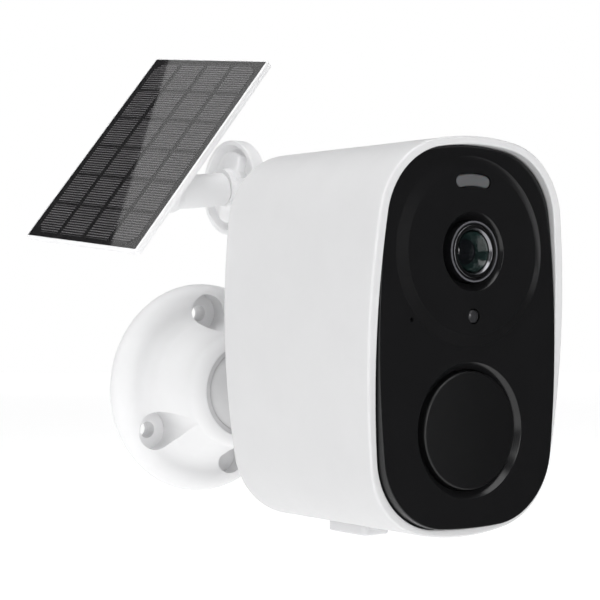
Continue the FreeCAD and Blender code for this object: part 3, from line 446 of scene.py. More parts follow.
def dome(radius, crown, foot, count=14):
    """(radius, y) points of a spherical cap from its crown on the axis to its foot."""
    rise = foot - crown
    sphere = (radius**2 + rise**2) / (2 * rise)
    steps = [radius * math.sin(k / count * math.pi / 2) for k in range(count + 1)]
    return [(r, crown + sphere - math.copysign(math.sqrt(sphere**2 - r * r), sphere)) for r in steps]


def drill(x, z, radius, low, high, count=64):
    """A closed cylinder along Y."""
    return loft([[(x + radius * math.cos(TAU * i / count), y, z + radius * math.sin(TAU * i / count))
                  for i in range(count)] for y in (low, high)])


def box_cutter(low, high, radius=0.0, axis=2):
    """A closed box, its edges along an axis rounded."""
    others = [k for k in range(3) if k != axis]
    corners = [(low[others[0]], low[others[1]], radius), (high[others[0]], low[others[1]], radius),
               (high[others[0]], high[others[1]], radius), (low[others[0]], high[others[1]], radius)]
    outline = soften(corners, True, 8) if radius else [corner[:2] for corner in corners]
    loops = []
    for level in (low[axis], high[axis]):
        loop = []
        for u, v in outline:
            point = [0, 0, 0]
            point[others[0]], point[others[1]], point[axis] = u, v, level
            loop.append(tuple(point))
        loops.append(loop)
    return loft(loops)


def flat_fill(outer, holes, level):
    """Triangles filling a flat (x, z) outline with holes, at one y."""
    loops = [outer] + list(holes)
    flat, edges = [], []
    for loop in loops:
        base = len(flat)
        flat += [Vector(point) for point in loop]
        edges += [(base + i, base + (i + 1) % len(loop)) for i in range(len(loop))]
    points, _, faces, _, _, _ = delaunay_2d_cdt(flat, edges, [], 1, 1e-6)
    kept = []
    for face in faces:
        centre = sum((points[i] for i in face), Vector((0, 0))) / len(face)
        if not any(inside(centre, hole) for hole in holes):
            kept.append(tuple(face))
    return [(point.x, level, point.y) for point in points], kept


def inside(point, loop):
    """True if a flat point lies in a loop."""
    crossings = False
    for (ax, ay), (bx, by) in zip(loop, loop[1:] + loop[:1]):
        if (ay > point.y) != (by > point.y) and point.x < (bx - ax) * (point.y - ay) / (by - ay) + ax:
            crossings = not crossings
    return crossings


def circle_flat(radius, x=0.0, z=0.0, count=128):
    """A circle as flat (x, z) points."""
    return [(x + radius * math.cos(TAU * i / count), z + radius * math.sin(TAU * i / count))
            for i in range(count)]


# ---------------------------------------------------------------- camera head

SHELL = {"half": 28.6, "side_arc": 201.0, "level": 1.2, "top": 45.7, "top_arc": 61.7, "top_corner": 19.0,
         "bottom": 44.1, "bottom_arc": 60.2, "bottom_corner": 17.4}
PLATE = {"half": 26.0, "side_arc": 235.0, "level": -0.8, "top": 43.6, "top_arc": 62.0, "top_corner": 16.8,
         "bottom": 41.9, "bottom_arc": 114.0, "bottom_corner": 17.7}
DEPTH, FRONT_LEAN, BACK_LEAN, BACK_WALL = 57.3, 0.059, 0.039, 3.0
TURNS = 720


def meeting(a, ra, b, rb):
    """Where two circles about flat centres a and b cross, on the right."""
    run = b - a
    along = (ra**2 - rb**2 + run.length_squared) / (2 * run.length)
    across = math.sqrt(ra**2 - along**2)
    unit = run.normalized()
    foot = a + unit * along
    side = Vector((-unit.y, unit.x)) * across
    return max((foot + side, foot - side), key=lambda point: point.x)


def soft_arcs(shape):
    """(first angle, centre, radius) of the outline's arcs, anticlockwise from the bottom, right half only."""
    side = Vector((shape["half"] - shape["side_arc"], shape["level"]))
    arcs = []
    for cap, sign in (("bottom", -1), ("top", 1)):
        centre = Vector((0, sign * (shape[cap] - shape[cap + "_arc"])))
        corner = shape[cap + "_corner"]
        middle = meeting(side, shape["side_arc"] - corner, centre, shape[cap + "_arc"] - corner)
        from_cap = math.atan2(*(middle - centre).yx)
        from_side = math.atan2(*(middle - side).yx)
        if sign < 0:
            arcs += [(-math.pi / 2, centre, shape[cap + "_arc"]), (from_cap, middle, corner),
                     (from_side, side, shape["side_arc"])]
        else:
            arcs += [(from_side, middle, corner), (from_cap, centre, shape[cap + "_arc"])]
    return arcs


def soft_loop(shape, grow=0.0):
    """Flat (x, z) points of an outline: one for each direction of its normal."""
    arcs = soft_arcs(shape)
    loop = []
    for k in range(TURNS):
        angle = TAU * (k + 0.5) / TURNS - math.pi
        mirrored = abs(angle) > math.pi / 2
        facing = math.copysign(math.pi, angle) - angle if mirrored else angle
        _, centre, radius = [arc for arc in arcs if arc[0] <= facing + 1e-9][-1]
        x = centre.x + (radius + grow) * math.cos(facing)
        z = centre.y + (radius + grow) * math.sin(facing)
        loop.append((-x if mirrored else x, z))
    return loop


def at_front(loop, back=0.0):
    """A flat loop set on the leaning rim plane, moved back."""
    return [(x, 0.4 - FRONT_LEAN * z + back, z) for x, z in loop]


def at_rear(loop, back=0.0):
    """A flat loop set on the leaning back plane, moved forward by a negative number."""
    return [(x, DEPTH + BACK_LEAN * z + back, z) for x, z in loop]


def flat_at(loop, y):
    """A flat loop at one depth."""
    return [(x, y, z) for x, z in loop]


def spread(loop_a, loop_b, steps):
    """Loops evenly between two loops, without the ends."""
    return [[tuple(Vector(a).lerp(Vector(b), k / steps)) for a, b in zip(loop_a, loop_b)]
            for k in range(1, steps)]


def housing():
    """White shell: one closed skin with the port opening and the speaker's holes cut through it."""
    hole = [(5.2 * x, 5.2 * z - FACE.z) for x, z in ((math.cos(TAU * (k + 0.5) / TURNS - math.pi),
                                                     math.sin(TAU * (k + 0.5) / TURNS - math.pi))
                                                    for k in range(TURNS))]
    inner_depth = DEPTH - BACK_WALL - 1.5
    loops = [flat_at(hole, inner_depth), flat_at(soft_loop(PLATE, 0.25), inner_depth)]
    loops += [flat_at(soft_loop(PLATE, 0.25), y) for y in (40.0, 20.0, 8.0)]
    edge = 0.35
    loops += [at_front(soft_loop(PLATE, 0.25 + edge * (1 - math.cos(a))), edge * (1 - math.sin(a)))
              for a in (k / 5 * math.pi / 2 for k in range(6))]
    edge = 0.6
    rim = [at_front(soft_loop(SHELL, -edge * (1 - math.sin(a))), edge * (1 - math.cos(a)))
           for a in (k / 6 * math.pi / 2 for k in range(7))]
    edge = 1.3
    tail = [at_rear(soft_loop(SHELL, -edge * (1 - math.cos(a))), -edge * (1 - math.sin(a)))
            for a in (k / 8 * math.pi / 2 for k in range(9))]
    loops += rim + spread(rim[-1], tail[0], 24) + tail
    loops += [at_rear([tuple(Vector(a).lerp(Vector(b), 0.5)) for a, b in zip(soft_loop(SHELL, -1.3), hole)]),
              at_rear(hole)]
    points, faces = loft(loops, closed=True)
    shell = mesh_piece("shell", points, faces, AT_FACE, "head", "white_shell", ["housing_shell"], angle=40)
    carve(shell, [box_cutter((-4.4, 33.2, -50), (4.4, 48.7, -38), 1.6)]
          + [upright(0.6, x, 18 + y, -50, -38) for x, y in [(0, 0)] + spots(6, 3.0)], 40)
    return shell


def spots(count, radius, first=0.0):
    """Points evenly round a circle."""
    return [(radius * math.cos(first + TAU * i / count), radius * math.sin(first + TAU * i / count))
            for i in range(count)]


def upright(radius, x, y, low, high, count=32):
    """A closed cylinder along Z."""
    return loft([[(x + radius * math.cos(TAU * i / count), y + radius * math.sin(TAU * i / count), z)
                  for i in range(count)] for z in (low, high)])


def face_plate():
    """Black front: flat face with a softened edge, countersunk for the motion sensor, and a sound hole."""
    edge = 0.35
    outer = soft_loop(PLATE, -edge)
    lens, motion = circle_flat(14.9, 0, RING_OFFSET), circle_flat(15.45, 0, -RING_OFFSET)
    sound = circle_flat(0.55, -16.9, 4.9, 32)
    front = flat_fill(outer, [lens, motion, sound], 0.0)
    shoulder = [flat_at(soft_loop(PLATE, -edge * (1 - math.sin(a))), edge * (1 - math.cos(a)))
                for a in (k / 5 * math.pi / 2 for k in range(6))]
    skirt = shoulder + [flat_at(soft_loop(PLATE), 6.6), flat_at(soft_loop(PLATE, -1.8), 6.6),
                        flat_at(soft_loop(PLATE, -1.8), 2.2)]
    walls = [loft(skirt, caps=False)]
    cone = [(15.45, 0.0), (15.36, 0.02), (15.28, 0.09), (13.75, 1.58), (13.68, 1.72), (13.68, 2.2)]
    walls.append(loft([[(x, y, z) for x, z in circle_flat(r, 0, -RING_OFFSET)] for r, y in cone], caps=False))
    walls.append(loft([flat_at(lens, 0), flat_at(lens, 2.2)], caps=False))
    small = [(0.55, 0.0), (0.48, 0.03), (0.45, 0.1), (0.45, 2.2)]
    walls.append(loft([[(x, y, z) for x, z in circle_flat(r, -16.9, 4.9, 32)] for r, y in small], caps=False))
    rear_openings = [lens, circle_flat(13.68, 0, -RING_OFFSET), circle_flat(0.45, -16.9, 4.9, 32)]
    back = flat_fill(soft_loop(PLATE, -1.8), rear_openings, 2.2)
    points, faces = join(front, back, *walls)
    return mesh_piece("face_plate", points, faces, AT_FACE, "head", "face_black", ["front_plate"])


def bean(grow=0.0, count=16):
    """Outline of the light window, about the lens axis, as (x, z)."""
    outer, inner, half = 17.4 + grow, 14.6 - grow, math.radians(13.0)
    end = (outer - inner) / 2
    middle = (outer + inner) / 2
    loop = [(outer * math.sin(a), outer * math.cos(a)) for a in (half * (2 * k / 40 - 1) for k in range(41))]
    for side, start in ((1, 0), (-1, math.pi)):
        centre = Vector((side * middle * math.sin(half), middle * math.cos(half)))
        turn = side * half
        cap = []
        for k in range(1, count):
            a = start - math.pi * k / count
            out = Vector((math.sin(turn), math.cos(turn))) * math.cos(a)
            along = Vector((math.cos(turn), -math.sin(turn))) * (-math.sin(a))
            cap.append(tuple(centre + (out + along) * end))
        loop += cap
        if side > 0:
            loop += [(inner * math.sin(a), inner * math.cos(a))
                     for a in (half * (1 - 2 * k / 40) for k in range(41))]
    return loop


def lens_surround():
    """Raised surround: a sloping outer edge, a flat face and a conical mouth, with two openings."""
    profile = soften([(8.94, -1.05, 0.18), (18.74, -1.05, 0.25), (21.4, 0.0), (14.8, 0.0), (14.8, 2.6),
                      (7.1, 2.6), (7.1, 1.2)])
    piece = mesh_piece("lens_surround", *lathe(profile, 256), AT_LENS, "head", "face_black", ["lens_boss"])
    hole = bean(0.12)
    carve(piece, [loft([flat_at(hole, -3), flat_at(hole, 1.4)]),
                  drill(0, SENSOR_LEVEL - RING_OFFSET, 1.75, -3, 1.0)])
    return piece


def window_pane():
    """Frosted window: a bean-shaped pane with a softened edge, a little below the surround's face."""
    level = -0.95
    loops = []
    for k in range(6):
        a = k / 5 * math.pi / 2
        loops.append(flat_at(bean(-0.45 * (1 - math.sin(a))), level + 0.45 * (1 - math.cos(a))))
    loops.append(flat_at(bean(), 1.3))
    return mesh_piece("window_pane", *loft(loops), AT_LENS, "head", "window_frost", ["light_window"])


def sensor_dome():
    """Small grey dome of the light sensor."""
    profile = dome(1.35, -1.45, -0.95, 10) + [(1.5, -0.7), (1.55, -0.4), (1.55, 2.0), (0, 2.0)]
    return mesh_piece("sensor_dome", *lathe(profile, 64), AT_SENSOR, "head", "sensor_dome",
                      ["light_sensor_dome"])


def lens_stack():
    """Barrel, trim ring, bright ring, coated inner cone, inner element and the clear outer lens."""
    barrel = soften([(6.13, 0.55, 0.05), (6.85, 0.55, 0.12), (6.85, 13.0), (7.8, 13.0), (7.8, 15.0),
                     (3.4, 15.0), (3.4, 6.0), (4.6, 3.5), (6.13, 3.5)])
    mesh_piece("barrel", *lathe(barrel), AT_CORE, "head", "barrel_black", ["lens_barrel"])
    trim = soften([(6.45, 0.42, 0.08), (6.84, 0.42, 0.08), (6.84, 0.56), (6.45, 0.56)])
    mesh_piece("barrel_trim", *lathe(trim), AT_CORE, "head", "barrel_black", (), THREAD)
    bright = soften([(4.75, 0.95, 0.08), (5.15, 0.32, 0.14), (5.92, 0.36, 0.12), (6.05, 0.7), (6.05, 3.4),
                     (4.45, 3.4)])
    mesh_piece("bright_ring", *lathe(bright), AT_CORE, "head", "ring_metal", ["lens_ring"])
    cone = [(4.44, 1.0), (3.9, 1.9), (3.1, 2.75), (2.85, 3.3), (2.85, 5.0), (4.44, 5.0)]
    mesh_piece("coated_cone", *lathe(soften(cone), 128), AT_CORE, "head", "lens_glass", (), COATING)
    inner = dome(2.1, 2.9, 3.5, 12) + [(2.2, 3.6), (2.3, 3.45), (2.45, 3.4), (2.84, 3.4), (2.84, 5.2),
                                       (0, 5.2)]
    mesh_piece("inner_lens", *lathe(inner, 128), AT_CORE, "head", "lens_glass", ["rear_lens"], PUPIL)
    outer = dome(4.42, 0.75, 1.35, 14) + [(4.42, 1.5)] + dome(4.42, 1.05, 1.5, 14)[::-1][1:]
    mesh_piece("outer_lens", *lathe(outer), AT_CORE, "head", "lens_glass", ["front_lens"])


def motion_dome():
    """Motion sensor lens: a shallow dark dome with a rounded shoulder."""
    crown = dome(12.6, -1.1, -0.05, 16)
    profile = crown + bow(crown[-1], (13.1, 0.12), (13.33, 0.55), 5)
    profile += [(13.33, 3.2), (14.9, 3.2), (14.9, 4.2), (12.4, 4.2), (12.4, 1.4)]
    profile += dome(12.4, 0.1, 1.4, 10)[::-1][1:]
    return mesh_piece("motion_dome", *lathe(profile, 256), AT_MOTION, "head", "pir_cover", ["pir_lens"])


def soft_block(low, high, radius, edge, axis=2):
    """A block whose edges along an axis have one radius and whose two rims have a smaller one."""
    u, v = [k for k in range(3) if k != axis]
    loops = []
    levels = [(low[axis] + edge * (1 - math.sin(a)), edge * (1 - math.cos(a))) for a in
              (k / 5 * math.pi / 2 for k in range(5, -1, -1))]
    levels += [(high[axis] - edge * (1 - math.sin(a)), edge * (1 - math.cos(a))) for a in
               (k / 5 * math.pi / 2 for k in range(6))]
    for level, inset in levels:
        corners = [(low[u] + inset, low[v] + inset), (high[u] - inset, low[v] + inset),
                   (high[u] - inset, high[v] - inset), (low[u] + inset, high[v] - inset)]
        outline = soften([(*corner, max(radius - inset, 0.02)) for corner in corners], True, 8)
        loop = []
        for a, b in outline:
            point = [0, 0, 0]
            point[u], point[v], point[axis] = a, b, level
            loop.append(tuple(point))
        loops.append(loop)
    return loft(loops)


def port_cover():
    """Charging port's plug with a stopper inside, and its strap."""
    grip = soft_block((-4.0, 33.6, -47.0), (4.0, 48.3, -44.25), 1.5, 0.55)
    stopper = soft_block((-3.9, 33.8, -44.4), (3.9, 48.1, -42.4), 1.2, 0.3)
    hinge_y, hinge_z, hinge_radius = 31.0, -44.725, 0.475
    rolled = [(hinge_y - hinge_radius * math.sin(a), hinge_z + hinge_radius * math.cos(a))
              for a in (math.pi * k / 12 for k in range(13))]
    section = rolled + [(34.5, hinge_z - hinge_radius), (34.5, hinge_z + hinge_radius)]
    neck = loft([[(x, y, z) for y, z in section] for x in (-2.5, 2.5)])
    mesh_piece("plug", *join(grip, stopper, neck), AT_FACE, "plug", "port_plug_white", ["port_plug"])
    loops = []
    for k in range(13):
        t = k / 12
        y = 23.6 + (hinge_y - hinge_radius - 0.15 - 23.6) * t
        deep = 0.12 + 0.68 * math.sin(t * math.pi / 2)
        corners = [(-2.45, -44.25, 0.05), (2.45, -44.25, 0.05), (2.45, -44.27 - deep, 0.05),
                   (-2.45, -44.27 - deep, 0.05)]
        loops.append([(x, y, z) for x, z in soften(corners, True, 3)])
    mesh_piece("strap", *loft(loops), AT_FACE, "head", "strap_rubber", ["plug_strap"])


# ---------------------------------------------------------------- wall base, ball, neck and nut

HOLE_CIRCLE, FIRST_HOLE, HOLE_RADIUS = 20.6, math.radians(92.5), 2.2
SCOOP_RADIUS, SCOOP_FLOOR = 5.2, -5.2
RECESS_X, RECESS_Z, RECESS_RADIUS = 6.6, -19.6, 4.3
BALL_RADIUS, BALL_Y, NECK_RADIUS = 12.6, -20.7, 5.0


def base_bell():
    """Bell-shaped base: rolled lip, valley and collar, with three scooped screw seats and a recess."""
    lip = [(28.6, -4.9)]
    lip += bow((28.6, -4.9), (27.1, -8.6), (23.6, -9.9), 16)
    lip += bow((23.6, -9.9), (20.3, -10.5), (18.3, -13.0), 14)
    lip += bow((18.3, -13.0), (16.3, -17.6), (15.5, -22.6), 16)
    lip += bow((15.5, -22.6), (14.75, -25.5), (12.75, -27.05), 10)
    lip += [(12.5, -27.18), (12.3, -27.15)]
    lip += bow((12.3, -27.15), (13.48, -24.1), (13.9, -20.7), 8)
    lip += [(13.9, -4.6), (17.2, -4.6), (17.2, -2.0), (25.2, -2.0)]
    lip += bow((25.2, -2.0), (27.4, -2.9), (28.6, -4.9), 8)[:-1]
    piece = mesh_piece("base_bell", *lathe(lip, 360), HOME, "base", "white_base", ["wall_base"], angle=40)
    cutters = [drill(RECESS_X, RECESS_Z, RECESS_RADIUS, -40, SCOOP_FLOOR, 128)]
    for x, z in spots(3, HOLE_CIRCLE, FIRST_HOLE):
        cutters += [drill(x, z, SCOOP_RADIUS, -40, SCOOP_FLOOR, 160), drill(x, z, HOLE_RADIUS, -10, 2, 64)]
    carve(piece, cutters, 40)
    return piece


def ball_and_neck():
    """Grey ball with its neck and shoulder."""
    start = math.asin(NECK_RADIUS / BALL_RADIUS)
    profile = []
    for k in range(33):
        a = start + (math.pi - start) * k / 32
        profile.append((BALL_RADIUS * math.sin(a), BALL_Y - BALL_RADIUS * math.cos(a)))
    profile[-1] = (0, profile[-1][1])
    neck = soften([(5.0, -32.3), (5.0, -52.0, 0.6), (8.5, -52.0, 0.4), (8.5, -55.0, 0.5), (3.15, -55.0),
                   (3.15, -48.5)], False)
    points, faces = lathe([(0, -48.5)] + neck[::-1] + profile, 192)
    return mesh_piece("ball_and_neck", points, faces, HOME, "ball", "ball_grey", ["ball_stud"])


def lock_nut():
    """Fluted ring nut behind the head."""
    def flute(angle):
        phase = abs((angle * 16 / TAU) % 1 - 0.5) * 2
        return -0.75 * max(0.0, phase - 0.55) / 0.45
    rows = [(3.18, -57.4, 0), (9.3, -57.4, 0.6), (9.8, -57.65, 0.9), (10.0, -58.0, 1), (10.0, -62.8, 1),
            (9.8, -63.15, 0.9), (9.3, -63.4, 0.6), (3.18, -63.4, 0)]
    loops = [ring(r, y, 384, lambda a, w=w: w * flute(a)) for r, y, w in rows]
    return mesh_piece("nut", *loft(loops, closed=True), HOME, "nut", "nut_white", ["lock_nut"])


# ---------------------------------------------------------------- solar bracket and arm

def star(angle, inner=5.9, outer=9.5):
    """Radius of the soft four-lobed cross at an angle."""
    swing = abs(math.cos(2 * (angle - math.radians(-10))))
    lobe = max(0.0, min(1.0, (swing - 0.32) / 0.5))
    return inner + (outer - inner) * lobe * lobe * (3 - 2 * lobe)


def bracket():
    """Round bracket base: rim, sunk floor, soft cross and hub, cut square to the arm."""
    back, rim = 1.5, 12.6
    front = back - 3.85
    cup = soften([(1.3, -0.45), (1.3, back), (rim, back, 0.4), (rim, front, 0.35), (rim - 1.3, front, 0.3),
                  (rim - 1.8, back - 1.5, 0.5), (5.0, back - 1.5), (4.0, -0.45)])
    cup_points, cup_faces = lathe(cup, 256)
    levels = [(0.05, 1.0, 0.0), (-1.6, 1.0, 0.0), (-2.0, 0.985, 0.0), (-2.25, 0.95, 0.0), (-2.35, 0.90, 0.0),
              (-2.42, 0.80, 0.15), (-2.55, 0.7, 0.4), (-2.9, 0.6, 0.75), (-3.5, 0.5, 0.93), (-4.2, 0.4, 1.0)]
    loops = []
    for level, share, hub in levels:
        loops.append([])
        for k in range(256):
            a = TAU * k / 256
            flare = 0.35 * (1 - min(1, (-level - 2.4) / 2.0)) * (hub > 0)
            radius = star(a) * share * (1 - hub) + (4.78 + flare) * hub
            side, height = radius * math.cos(a), radius * math.sin(a)
            if level == levels[-1][0]:
                loops[-1].append((side, (height * math.sin(ARM_DROP) - SEAM) / math.cos(ARM_DROP), height))
            else:
                loops[-1].append((side, level, height))
    points, faces = join((cup_points, cup_faces), loft(loops))
    return mesh_piece("bracket", points, faces, AT_SOLAR @ X_TO_Y, "base", "bracket_white", ["solar_base"],
                      angle=40)


def spacer():
    """Spacer tube between the bracket and the carrier's flange."""
    profile = soften([(1.65, 1.5), (5.0, 1.5, 0.2), (5.0, 18.1, 0.2), (1.65, 18.1)])
    mesh_piece("spacer", *lathe(profile, 128), AT_SOLAR @ X_TO_Y, "base", "bracket_white", ["solar_spacer"])


def arm():
    """Plain round arm with a softened seam end and a socket at the far end."""
    end = -ARM_REACH
    start = -SEAM - 0.15
    profile = soften([(1.75, start), (4.4, start, 0.3), (4.4, -18.6, 1.0), (5.2, -20.6, 1.0),
                      (5.2, end - 0.8, 0.5), (3.66, end - 0.8, 0.1), (3.7, end + 0.5), (3.1, end + 2.1),
                      (2.0, end + 3.17), (2.0, start - 2.2), (1.75, start - 2.2)])
    mesh_piece("arm", *lathe(profile, 160), AT_ARM @ X_TO_Y, "arm", "bracket_white", ["solar_arm"], angle=40)


# ---------------------------------------------------------------- solar panel

GLASS_HALF = (21.2, 31.8)


def tray():
    """White tray round the glass, with a softened edge, a seam line and the round mounting boss."""
    steps = [(-0.25, -1.0, 0.2), (-0.25, -0.02, 0.25), (-0.05, 0.0, 0.3), (0.2, -0.05, 0.95),
             (0.3, -0.2, 1.0), (0.3, -0.85, 1.0), (0.2, -0.95, 0.95), (0.2, -1.05, 0.95),
             (0.3, -1.15, 1.0), (0.3, -1.7, 1.0), (0.15, -1.93, 0.9),
             (-0.1, -2.0, 0.5), (-2.2, -2.0, 0.8), (-2.4, -1.9, 0.8), (-2.5, -1.75, 0.8)]
    loops = []
    for grow, level, radius in steps:
        u, v = GLASS_HALF[0] + grow, GLASS_HALF[1] + grow
        outline = soften([(-u, -v, radius), (u, -v, radius), (u, v, radius), (-u, v, radius)], True, 8)
        loops.append([(x, y, level) for x, y in outline])
    shape = loft(loops)
    boss, boss_faces = lathe(soften([(1.55, -4.2, 0.1), (6.0, -4.2, 0.5), (6.0, -1.7), (1.55, -1.7)]), 96)
    boss = [(x, z - MOUNT_OFFSET, y) for x, y, z in boss]
    mesh_piece("tray", *join(shape, (boss, boss_faces)), AT_PANEL, "panel", "panel_white", ["panel_tray"])


def cells():
    """Four columns and six rows of dark cells on a black sheet, the corner cells with a cut corner."""
    columns, rows, width, height = 4, 6, 8.35, 9.3
    pitch_x, pitch_y, cut = 9.8, 10.12, 2.2
    points, faces = [], []
    for row in range(rows):
        for column in range(columns):
            x = (column - (columns - 1) / 2) * pitch_x
            y = (row - (rows - 1) / 2) * pitch_y
            side_x = (column == columns - 1) - (column == 0)
            side_y = (row == rows - 1) - (row == 0)
            corners = []
            for u, v in ((-1, -1), (1, -1), (1, 1), (-1, 1)):
                cx, cy = x + u * width / 2, y + v * height / 2
                if side_x == u and side_y == v:
                    ends = [(cx - u * cut, cy), (cx, cy - v * cut)]
                    corners += ends[::-1] if u * v > 0 else ends
                else:
                    corners.append((cx, cy))
            if corners_turn(corners) < 0:
                corners.reverse()
            base = len(points)
            count = len(corners)
            points += [(a, b, -0.10) for a, b in corners] + [(a, b, -0.06) for a, b in corners]
            faces.append(tuple(base + count + i for i in range(count)))
            faces.append(tuple(base + i for i in range(count - 1, -1, -1)))
            faces += [(base + i, base + (i + 1) % count, base + count + (i + 1) % count, base + count + i)
                      for i in range(count)]
    mesh_piece("cells", points, faces, AT_PANEL, "panel", "cell_dark", ["cell_sheet"])
    u, v = GLASS_HALF[0] - 0.05, GLASS_HALF[1] - 0.05
    sheet = soft_block((-u, -v, -0.9), (u, v, -0.10), 0.4, 0.02)
    mesh_piece("cell_backing", *sheet, AT_PANEL, "panel", "cell_dark", (), BACKING)
    u, v = GLASS_HALF[0] - 0.02, GLASS_HALF[1] - 0.02
    glass = soft_block((-u, -v, -0.05), (u, v, 0.0), 0.4, 0.015)
    mesh_piece("cover_glass", *glass, AT_PANEL, "panel", "panel_glass", ["panel_glass"])


def corners_turn(corners):
    """Twice the signed area of a flat outline."""
    return sum(ax * by - bx * ay for (ax, ay), (bx, by) in zip(corners, corners[1:] + corners[:1]))


def cable_exit():
    """Box where the cells' leads end; its outlet is not drawn here."""
    box = soft_block((-8, 12, -5.0), (8, 22, -1.7), 1.2, 0.6)
    mesh_piece("lead_box", *box, AT_PANEL, "panel", "panel_white", ["cable_box"])


housing()
face_plate()
lens_surround()
window_pane()
sensor_dome()
lens_stack()
motion_dome()
port_cover()
base_bell()
ball_and_neck()
lock_nut()
bracket()
spacer()
arm()
tray()
cells()
cable_exit()

# ---------------------------------------------------------------- carried-over CAD nodes

slots = {row["node"]: row["material_slot"] for row in frame["record"]["subparts"]}
for name, piece in frame["nodes"].items():
    for slot in piece.material_slots:
        slot.material = LOOKS[slots[name]]

# ---------------------------------------------------------------- studio

def flat(name, corners, material):
    """A flat stage piece from its corners in metres."""
    mesh = bpy.data.meshes.new(name)
    mesh.from_pydata([tuple(corner) for corner in corners], [], [tuple(range(len(corners)))])
    mesh.materials.append(material)
    piece = bpy.data.objects.new(name, mesh)
    bpy.context.scene.collection.objects.link(piece)
    return piece


def glow(name, colour, strength):
    """An even light-giving material for stage pieces."""
    material = bpy.data.materials.new(name)
    material.use_nodes = True
    tree = material.node_tree
    tree.nodes.clear()
    light = node(tree, "ShaderNodeEmission", Strength=strength)
    light.inputs["Color"].default_value = (*colour, 1)
    out = tree.nodes.new("ShaderNodeOutputMaterial")
    tree.links.new(light.outputs[0], out.inputs["Surface"])
    return material


def softbox(name, spot, target, width, height, power, colour=(1, 1, 1)):
    """A large soft area light looking from a spot to a target, in metres."""
    light = bpy.data.lights.new(name, "AREA")
    light.shape = "RECTANGLE"
    light.size, light.size_y, light.energy, light.color = width, height, power, colour
    lamp = bpy.data.objects.new(name, light)
    lamp.location = spot
    lamp.rotation_euler = (Vector(target) - Vector(spot)).to_track_quat("-Z", "Y").to_euler()
    bpy.context.scene.collection.objects.link(lamp)
    return lamp


camera_data = bpy.data.cameras.new("camera")
camera_data.lens = 105.36
camera_data.sensor_width = 36
camera_data.clip_start = 0.01
camera_data.clip_end = 50
camera = bpy.data.objects.new("camera", camera_data)
camera.location = (-0.2604 + HEAD_SIDE * MM, -0.4170, 0.0242)
look = Vector((0.5848, 0.8112, 0.0))
BACKDROP_DISTANCE, WALL_DISTANCE, CARD_DISTANCE = 3.2, 3.9, 1.2
FLAG_HALF, FLAG_FOOT, FLAG_TOP = 0.75, -0.109, 0.7
camera.rotation_euler = look.to_track_quat("-Z", "Y").to_euler()
bpy.context.scene.collection.objects.link(camera)
bpy.context.scene.camera = camera

floor_material, floor_tree, floor_shader, floor_where = blank("floor_pale")
floor_tones = [(0.3, (0.40, 0.40, 0.40)), (0.7, (0.43, 0.43, 0.43))]
floor_tree.links.new(ramp(floor_tree, noise(floor_tree, floor_where, 0.004), floor_tones),
                     floor_shader.inputs["Base Color"])
floor_shader.inputs["Roughness"].default_value = 0.9
floor_shader.inputs["Emission Color"].default_value = (1, 1, 1, 1)
floor_shader.inputs["Emission Strength"].default_value = 0.8
FLOOR = -0.11
flat("floor", [(-4, -4, FLOOR), (4, -4, FLOOR), (4, 4, FLOOR), (-4, 4, FLOOR)], floor_material)
side = Vector((look.y, -look.x, 0))
far = camera.location + look * BACKDROP_DISTANCE
white_wall = glow("backdrop_white", (1, 1, 1), 1.0)
drop, rise = Vector((0, 0, FLOOR - far.z)), Vector((0, 0, 0.9))
flat("backdrop", [far - side * 3 + drop, far + side * 3 + drop, far + side * 3 + rise, far - side * 3 + rise],
     white_wall)

# Plain white walls, met only by the camera, so that every side has the same background.
WALL_RISE = Vector((0, 0, 4))
for number, (turn_x, turn_y) in enumerate(((WALL_DISTANCE, 0), (-WALL_DISTANCE, 0), (0, WALL_DISTANCE),
                                            (0, -WALL_DISTANCE))):
    run = Vector((turn_y, turn_x, 0)).normalized() * 4
    foot = Vector((turn_x, turn_y, FLOOR))
    wall = flat("wall_" + str(number),
                [foot - run, foot + run, foot + run + WALL_RISE, foot - run + WALL_RISE], white_wall)
    wall.visible_diffuse = wall.visible_glossy = wall.visible_shadow = wall.visible_transmission = False

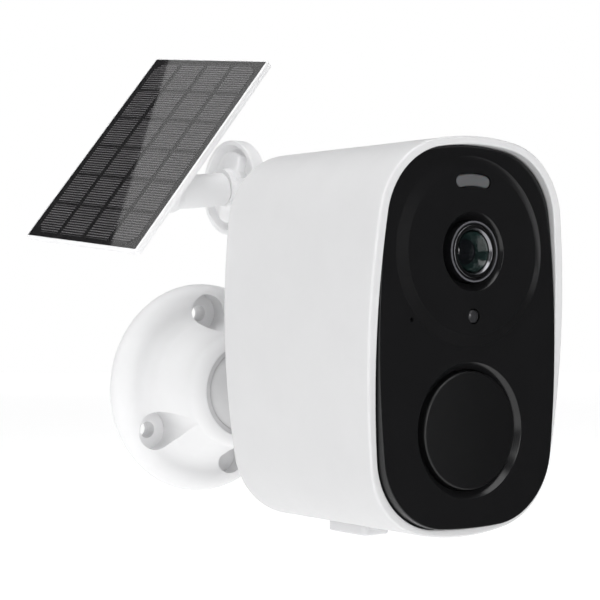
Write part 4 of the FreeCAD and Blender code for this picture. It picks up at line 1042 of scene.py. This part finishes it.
# A pale card whose straight edge is mirrored across the solar panel's glass.
glass_point = AT_PANEL.to_translation() * MM
glass_normal = (AT_PANEL.to_3x3() @ Vector((0, 0, 1))).normalized()
mirrored = camera.location - glass_normal * (2 * (camera.location - glass_point).dot(glass_normal))
edge = []
for u, v in ((-16.1, 31.8), (12.1, -31.8)):
    spot = (AT_PANEL @ Vector((u, v, 0))) * MM
    edge.append(spot + (spot - mirrored).normalized() * CARD_DISTANCE)
toward = (AT_PANEL @ Vector((60, 0, 0))) * MM
toward = toward + (toward - mirrored).normalized() * CARD_DISTANCE
along = (edge[1] - edge[0]).normalized()
middle = (edge[0] + edge[1]) / 2
out = toward - middle
out = (out - along * out.dot(along)).normalized()
start, end = middle - along * 0.8, middle + along * 0.8
flat("card", [start, end, end + out * 0.9, start + out * 0.9],
     glow("card_pale", (1, 1, 1), 1.3))

# A dark flag in front and to the right, met only by reflections, so the black face stays black.
facing = Vector((0.585, -0.811, 0))
across = Vector((0.811, 0.585, 0))
middle = facing * 0.6 + Vector((0, -0.12, 0))
flag_material, _, flag_shader, _ = blank("flag_dark")
flag_shader.inputs["Base Color"].default_value = (0.002, 0.002, 0.002, 1)
flag_shader.inputs["Roughness"].default_value = 1.0
near, low, high = across * FLAG_HALF, Vector((0, 0, FLAG_FOOT)), Vector((0, 0, FLAG_TOP))
flag = flat("flag", [middle - near + low, middle + near + low, middle + near + high, middle - near + high],
            flag_material)
flag.visible_camera = flag.visible_diffuse = flag.visible_shadow = False
low_flag = flat("low_flag", [facing * 0.04 + Vector((0, -0.16, -0.109)) - across * 0.25,
                             facing * 0.04 + Vector((0, -0.16, -0.109)) + across * 0.75,
                             middle + across * 0.75 + Vector((0, 0, -0.109)),
                             middle - across * 0.75 + Vector((0, 0, -0.109))], flag_material)
low_flag.visible_camera = low_flag.visible_diffuse = low_flag.visible_shadow = False

world = bpy.data.worlds.new("studio")
world.use_nodes = True
world.node_tree.nodes["Background"].inputs["Color"].default_value = (0.94, 0.95, 1.0, 1)
world.node_tree.nodes["Background"].inputs["Strength"].default_value = 0.08
bpy.context.scene.world = world
bpy.context.scene.view_settings.view_transform = "Standard"

softbox("top", (-0.15, -0.25, 1.3), (0, -0.06, 0), 1.5, 1.5, 15)
softbox("left", (-1.3, 0.15, 0.35), (0, -0.07, 0.0), 1.2, 1.2, 5.5)
softbox("front", (-0.1, -1.5, 0.12), (0, -0.1, 0.02), 0.45, 0.5, 3.2)
softbox("front_left", (-0.55, -1.35, 0.4), (0, -0.05, 0.02), 0.7, 0.7, 6)
